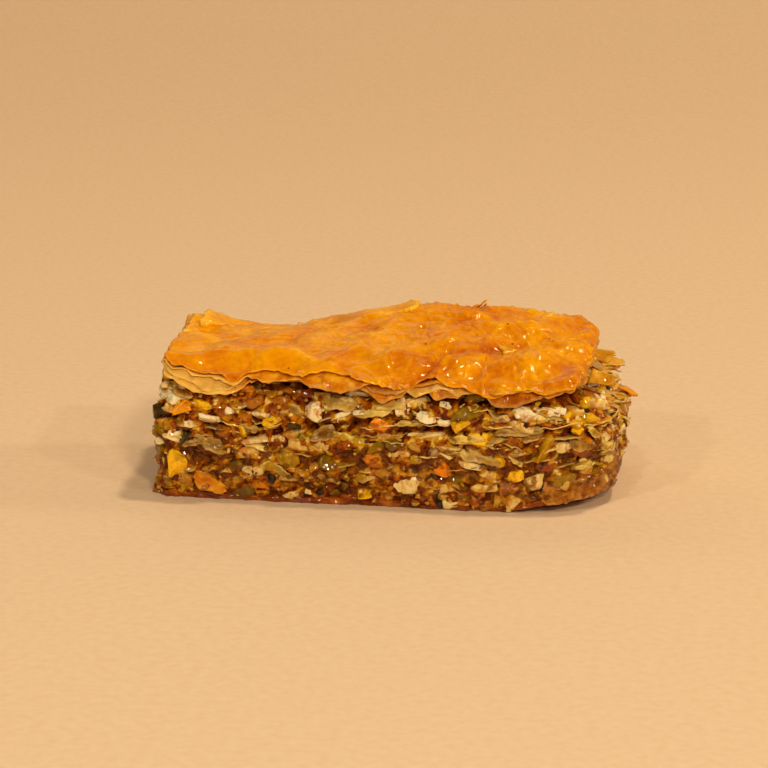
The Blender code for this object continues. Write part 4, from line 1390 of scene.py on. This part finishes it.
def makeMash():
    # it climbs the sides of each nut, sinks into hollows here and there, and is itself made of crumbs
    heap = Heap()
    along = body.around(mash["stations"])
    rim = body.points(along, midHeight, 0.0)
    foot = underOf["base_pastry"](rim[:, 0], rim[:, 1]) + mash["foot"]
    roof = underOf[crustName](rim[:, 0], rim[:, 1]) - mash["roof"]
    share = np.linspace(0, 1, mash["rows"])
    height = spread(foot, roof, share)
    out = np.clip(overNuts(1)[cellOf(along[:, None], height)], -2.4, 0.4)
    cells = body.points(along[:, None], height, out).reshape(-1, 3)
    hollow = smooth(lumps(cells, mash["gapSize"], 3, 2) * 2.4 - 0.1).reshape(out.shape)
    flat = np.column_stack([np.broadcast_to(along[:, None], out.shape).ravel(), height.ravel() * 1.25])
    flat += np.column_stack([lumps(cells, 1.8, 5, 1), lumps(cells, 1.8, 6, 1)]) * 0.6
    proud, own = grains(flat, mash["grain"], 7)
    fine, ownFine = grains(flat, mash["fine"], 8)
    relief = proud * mash["grainDepth"] + fine * mash["fineDepth"] * (0.4 + 0.6 * proud)
    out = out - mash["below"] - hollow * mash["gaps"] + relief.reshape(out.shape) - mash["grainDepth"] * 0.5
    pinch = np.minimum(share, 1 - share) * (mash["rows"] - 1) < 0.5
    out = np.where(pinch, mash["tucked"], out)
    wall = body.points(along[:, None], height, out)
    middle = body.middleLine(along)
    # the crumbs keep their own tones and the dark between them is syrup with painted shade; the hollows are
    # painted darker still, as shade
    tone = 0.7 * own * smooth(proud * 3) + 0.3 * ownFine * smooth(fine * 3)
    tone = tone.reshape(out.shape) - 0.3 * hollow
    bottom = capOf(wall[:, 0], middle, underOf["base_pastry"], mash["capRings"], mash["foot"])
    top = capOf(wall[:, -1], middle, underOf[crustName], mash["capRings"], -mash["roof"])
    whole = np.concatenate([bottom, wall, top[:, ::-1]], 1)
    marks = np.concatenate([bottom[..., 0] * 0, tone, top[..., 0] * 0], 1)
    noteReach(np.repeat(along, mash["rows"]), height.ravel(), out.ravel())
    heap.addRound(whole, marks)
    heap.piece("nut_mash", syrupMash, "nuts", ["lower_nuts", "middle_nuts", "top_nuts"], weld=0.01)


makeMash()
print("pressed the mash between the nuts")


# torn sheets that hang over the nuts

# x where it begins on the front, length round the piece, lower and upper edge at both ends, how far it
# stands off the nuts and how much it waves
drapes = {
    "corner_sheet": [
        {"x": 36.0, "long": 26.0, "low": (1.6, 3.4), "high": (6.0, 12.6), "over": 0.1, "sag": 1.0}],
    "fallen_crust": [
        {"x": -39.4, "long": 7.4, "low": (2.6, 1.4), "high": (7.0, 4.2), "over": 0.4, "sag": 1.3}],
    "torn_flaps": [
        {"x": -10.6, "long": 7.2, "low": (21.6, 20.6), "high": (23.8, 22.8), "over": 0.5, "sag": 0.3},
        {"x": 0.6, "long": 6.4, "low": (21.4, 21.8), "high": (23.4, 23.6), "over": 0.3, "sag": 0.3},
        {"x": -38.6, "long": 6.0, "low": (12.4, 9.6), "high": (15.4, 13.0), "over": 0.3, "sag": 0.3},
        {"x": 18.4, "long": 9.0, "low": (11.4, 9.8), "high": (13.6, 12.2), "over": 0.2, "sag": 0.3},
        {"x": 26.0, "long": 10.0, "low": (16.4, 17.4), "high": (18.2, 19.0), "over": 0.2, "sag": 0.3}],
}
# the sheet at the right corner: so thin and soaked that the brown of the nuts comes through
cornerFilo = filoLeaf("syrupSoakedCornerFilo", [(0.3, "#8a4606"), (0.5, "#b87414"), (0.7, "#dca040")],
                      "#e8bc6c", 1.0, seeThrough=(0.15, 0.6))
drapeFinish = {"corner_sheet": (cornerFilo, "soaked_pastry"), "fallen_crust": (crustLeaf, "baked_crust"),
               "torn_flaps": (soakedFilo, "soaked_pastry"), "filo_patches": (thinFilo, "soaked_pastry")}
drapeMesh = {"along": 0.4, "up": 0.35, "thick": 0.2}

patches = {"count": 64, "long": (2.0, 8.0), "tall": (1.0, 3.0), "slope": 1.6}


def scatterPatches():
    # small torn pieces of soaked leaf stuck to the nuts
    dice = random.Random(61)
    sheets = []
    for _ in range(patches["count"]):
        along, height = dice.uniform(0, body.girth), dice.triangular(4.0, 25.0, 17.0)
        long, tall = dice.uniform(*patches["long"]), dice.uniform(*patches["tall"])
        slope = dice.uniform(-1, 1) * patches["slope"]
        sheets.append({"along": along, "long": long, "low": (height, height + slope),
                       "high": (height + tall, height + slope + tall * dice.uniform(0.5, 1.2)),
                       "over": dice.uniform(-0.1, 0.25), "sag": 0.6, "tuck": dice.choice((0, 1))})
    return sheets


def hangSheet(heap, sheet, table, seed, pale):
    # one sheet laid over the nuts, with one long edge tucked in between them
    (low0, low1), (high0, high1) = sheet["low"], sheet["high"]
    columns = max(8, int(sheet["long"] / drapeMesh["along"]))
    rows = max(7, int((high0 - low0) / drapeMesh["up"]))
    u, v = np.linspace(0, 1, columns), np.linspace(0, 1, rows)
    begin = sheet["along"] if "along" in sheet else body.frontAt(sheet["x"])
    along = begin + u * sheet["long"]
    low = low0 + (low1 - low0) * u + lineNoise(along, 1.3, seed) * 0.5
    high = high0 + (high1 - high0) * u + lineNoise(along, 1.5, seed + 1) * 0.7
    ends = 1 - 0.6 * np.abs(2 * u - 1) ** 8
    height = spread(low, high, 0.5 + (v - 0.5) * ends[:, None])
    along = along[:, None] + lineNoise(v * 6, 1.5, seed + 2) * 0.7 * (2 * u - 1)[:, None]
    along = along + (v - 0.5) * 0.5 * math.sin(seed)
    cells = body.points(along, height, 0.0).reshape(-1, 3)
    wave = sheet["sag"] * 0.5 * lumps(cells, 3.0, seed + 3).reshape(height.shape)
    out = np.maximum(table[cellOf(along, height)], -0.9) + sheet["over"] + wave
    into = v if sheet.get("tuck", 1) else 1 - v
    out = out - 1.2 * smooth((into - 0.75) / 0.25)
    mark = 0.7 * np.exp(-np.minimum(v, 1 - v) * (high - low)[:, None] / 0.5)
    noteReach(along.ravel(), height.ravel(), out.ravel())
    heap.addSheet(body.points(along, height, out), body.points(along, height, out - drapeMesh["thick"]),
                  mark * pale)


def makeDrapes():
    table = overNuts(2)
    drapes["filo_patches"] = scatterPatches()
    for name, sheets in drapes.items():
        heap = Heap()
        pale = 0.4 if name == "fallen_crust" else 1.0      # the fallen bit is baked to its edges
        for number, sheet in enumerate(sheets):
            hangSheet(heap, sheet, table, 300 + number * 11 + len(name), pale)
        material, slotName = drapeFinish[name]
        heap.piece(name, material, slotName)


makeDrapes()
print("hung the torn sheets")


# the syrup that has run down between the nuts

# sugar syrup run down between the nuts: clear amber, wet and glassy, darker where it is deep
def cookedSyrup():
    material, tree = newMaterial("cookedSugarSyrup")
    place = addNode(tree, "TexCoord").outputs["Object"]
    mark = addNode(tree, "Attribute", {"attribute_name": "mark"}).outputs["Fac"]
    swirl = addNode(tree, "TexNoise", {"Scale": perMetre(3.0), "Detail": 3.0},
                    {"Vector": place}).outputs["Fac"]
    colour = addNode(tree, "ValToRGB", {"stops": [(0.3, "#4c1c00"), (0.7, "#8c4c04")]},
                     {"Fac": swirl}).outputs["Color"]
    thick = addNode(tree, "MapRange", {"To Min": 0.2, "To Max": 0.75}, {"Value": mark}).outputs["Result"]
    ripple = addNode(tree, "TexNoise", {"Scale": perMetre(1.6), "Detail": 2.0},
                     {"Vector": place}).outputs["Fac"]
    bump = addNode(tree, "Bump", {"Strength": 1.0, "Distance": 0.35 * mm},
                   {"Height": ripple}).outputs["Normal"]
    rough = addNode(tree, "MapRange", {"To Min": 0.03, "To Max": 0.1}, {"Value": swirl}).outputs["Result"]
    shader = addNode(tree, "BsdfPrincipled", {"IOR": 1.5, "Specular Tint": amberSheen, "Coat Weight": 1.0,
                                             "Coat IOR": 1.6, "Coat Roughness": 0.03},
                     {"Base Color": colour, "Roughness": rough, "Normal": bump, "Alpha": thick})
    addNode(tree, "OutputMaterial", links={"Surface": shader.outputs[0]})
    return material


sugarSyrup = cookedSyrup()
film = {"low": 0.5, "high": 15.0, "sway": 4.0, "below": 0.8, "rows": 40, "stations": 580, "tucked": -3.2}


def makeFilm():
    # a clear skin over the nuts, deeper in the gaps between them
    heap = Heap()
    table = overNuts(2)
    along = body.around(film["stations"])
    x, y, _ = np.moveaxis(body.points(along, 2.0, -1.0), -1, 0)
    low = underOf["base_pastry"](x, y) + film["low"]
    high = film["high"] + lineNoise(along, 11.0, 91) * film["sway"] + lineNoise(along, 3.0, 92) * 1.2
    share = np.linspace(0, 1, film["rows"])
    height = spread(low, high, share)
    here = cellOf(along[:, None], height)
    out = np.clip(table[here], -2.4, 1.2)
    cells = body.points(along[:, None], height, out).reshape(-1, 3)
    out = out - film["below"] + 0.3 * lumps(cells, 2.2, 94, 2).reshape(out.shape)
    ends = smooth(np.minimum(share * 12, (1 - share) * 7))
    out = out * ends + film["tucked"] * (1 - ends)
    depth = np.clip((out - np.minimum(reached[here], out)) / 1.5, 0, 1)
    heap.addRound(body.points(along[:, None], height, out), depth)
    heap.piece("syrup_film", sugarSyrup, "nuts", closed=False)


drops = {"count": 400, "size": (0.4, 1.3), "longer": (1.0, 2.2), "flat": 0.45, "clear": 0.25}


def makeDrops():
    # beads of syrup that have stayed on the nuts
    heap = Heap()
    dice = random.Random(71)
    table = overNuts(1)
    bead = bmesh.new()
    bmesh.ops.create_icosphere(bead, subdivisions=2, radius=0.5)
    ball = np.array([v.co[:] for v in bead.verts])
    faces = [[v.index for v in f.verts] for f in bead.faces]
    bead.free()
    for _ in range(drops["count"]):
        along, height = dice.uniform(0, body.girth), dice.triangular(1.5, 22.0, 6.0)
        out = table[cellOf(along, height)]
        size, longer = dice.uniform(*drops["size"]), dice.uniform(*drops["longer"])
        turn = dice.uniform(-1, 1)
        across = (ball[:, 0] * math.cos(turn) * longer - ball[:, 2] * math.sin(turn)) * size
        up = (ball[:, 0] * math.sin(turn) * longer + ball[:, 2] * math.cos(turn)) * size
        points = body.points(along + across, height + up, out + ball[:, 1] * size * drops["flat"])
        heap.add(points, faces, drops["clear"])
    heap.piece("syrup_drops", sugarSyrup, "nuts")


makeFilm()
makeDrops()
print("poured the syrup; %d triangles in all" % sum(heaps))


# floor, light and camera

# a sheet of paper that curves up behind: y and z in metres, and half its width
paper = {"curve": [(-2.0, 0.0), (-1.0, 0.0), (-0.5, 0.0), (0.0, 0.0), (0.4, 0.0), (0.7, 0.0), (1.0, 0.05),
                   (1.2, 0.25), (1.3, 0.6), (1.3, 1.4), (1.3, 2.4)], "half": 3.0}


def makeStage():
    floor = bpy.data.objects.new("floor", bpy.data.meshes.new("floor"))
    scene.collection.objects.link(floor)
    rows = [[(x, y, z) for x in (-paper["half"], paper["half"])] for y, z in paper["curve"]]
    points = [p for row in rows for p in row]
    faces = [(2 * i, 2 * i + 1, 2 * i + 3, 2 * i + 2) for i in range(len(rows) - 1)]
    floor.data.from_pydata(points, [], faces)
    floor.data.shade_smooth()
    rounding = floor.modifiers.new("rounding", "SUBSURF")
    rounding.levels = rounding.render_levels = 3
    # uncoated paper: matt, with a faint mottle of pulp, so it gives back no lamp
    material, tree = newMaterial("matPaper")
    place = addNode(tree, "TexCoord").outputs["Object"]
    fibre = addNode(tree, "TexNoise", {"Scale": perMetre(2.0), "Detail": 3.0},
                    {"Vector": place}).outputs["Fac"]
    colour = addNode(tree, "ValToRGB", {"stops": [(0.3, "#dcc2a2"), (0.7, "#e0caac")]},
                     {"Fac": fibre}).outputs["Color"]
    shader = addNode(tree, "BsdfPrincipled", {"Roughness": 0.85, "IOR": 1.45}, {"Base Color": colour})
    addNode(tree, "OutputMaterial", links={"Surface": shader.outputs[0]})
    floor.data.materials.append(material)


def addLamp(name, place, aim, size, power, colour):
    lamp = bpy.data.lights.new(name, "AREA")
    lamp.shape = "DISK"
    lamp.size = size
    lamp.energy = power
    lamp.color = linear(colour)[:3]
    thing = bpy.data.objects.new(name, lamp)
    thing.location = place
    thing.rotation_euler = (Vector(aim) - Vector(place)).to_track_quat("-Z", "Y").to_euler()
    scene.collection.objects.link(thing)


warm, sparkling = "#ffe8c8", "#fff4e4"
lamps = {      # place and size in metres, power in watts and colour; the small ones glint in the syrup
    "keyLamp": ((0.55, 0.15, 1.85), 0.16, 11.0, warm),
    "rakeLamp": ((1.6, 0.35, 0.85), 0.3, 5.4, warm),
    "frontLamp": ((0.8, -1.65, 1.2), 0.22, 13.5, warm),
    "backLamp": ((-0.35, 1.2, 1.0), 0.7, 0.8, "#fff0dc"),
    "sideLamp": ((-1.4, 0.9, 1.2), 0.8, 3.0, warm),
    "sparkLamp1": ((-0.7, -1.3, 1.0), 0.055, 3.3, sparkling),
    "sparkLamp2": ((0.25, -1.5, 0.55), 0.055, 3.3, sparkling),
    "sparkLamp3": ((1.2, -1.0, 1.0), 0.055, 3.3, sparkling),
    "sparkLamp4": ((-0.2, -1.0, 1.5), 0.055, 3.3, sparkling),
}
studio = {"colour": "#f3dfc4", "strength": 0.08}


def makeLight():
    middle = (cadLow + cadHigh) / 2
    for name, (place, size, power, colour) in lamps.items():
        addLamp(name, place, middle, size, power, colour)
    world = bpy.data.worlds.new("studio")
    world.use_nodes = True
    scene.world = world
    background = world.node_tree.nodes["Background"]
    background.inputs["Color"].default_value = linear(studio["colour"])
    background.inputs["Strength"].default_value = studio["strength"]


view = {"azimuth": 9.0, "elevation": 14.0, "distance": 600.0, "aimHeight": 21.5, "aimX": -1.2,
        "frameWidth": 169.0}


def makeCamera():
    side, up = math.radians(view["azimuth"]), math.radians(view["elevation"])
    back = Vector((math.sin(side) * math.cos(up), -math.cos(side) * math.cos(up), math.sin(up)))
    aim = Vector((view["aimX"], 0, view["aimHeight"])) * mm
    data = bpy.data.cameras.new("camera")
    data.sensor_width = 36.0
    data.lens = data.sensor_width * view["distance"] / view["frameWidth"]
    data.clip_start = 0.01
    camera = bpy.data.objects.new("camera", data)
    camera.location = aim + back * view["distance"] * mm
    camera.rotation_mode = "QUATERNION"
    camera.rotation_quaternion = (-back).to_track_quat("-Z", "Y")
    scene.collection.objects.link(camera)
    scene.camera = camera


makeStage()
makeLight()
makeCamera()
scene.view_settings.view_transform = "Standard"
scene.view_settings.look = "Medium High Contrast"
print("set the stage")
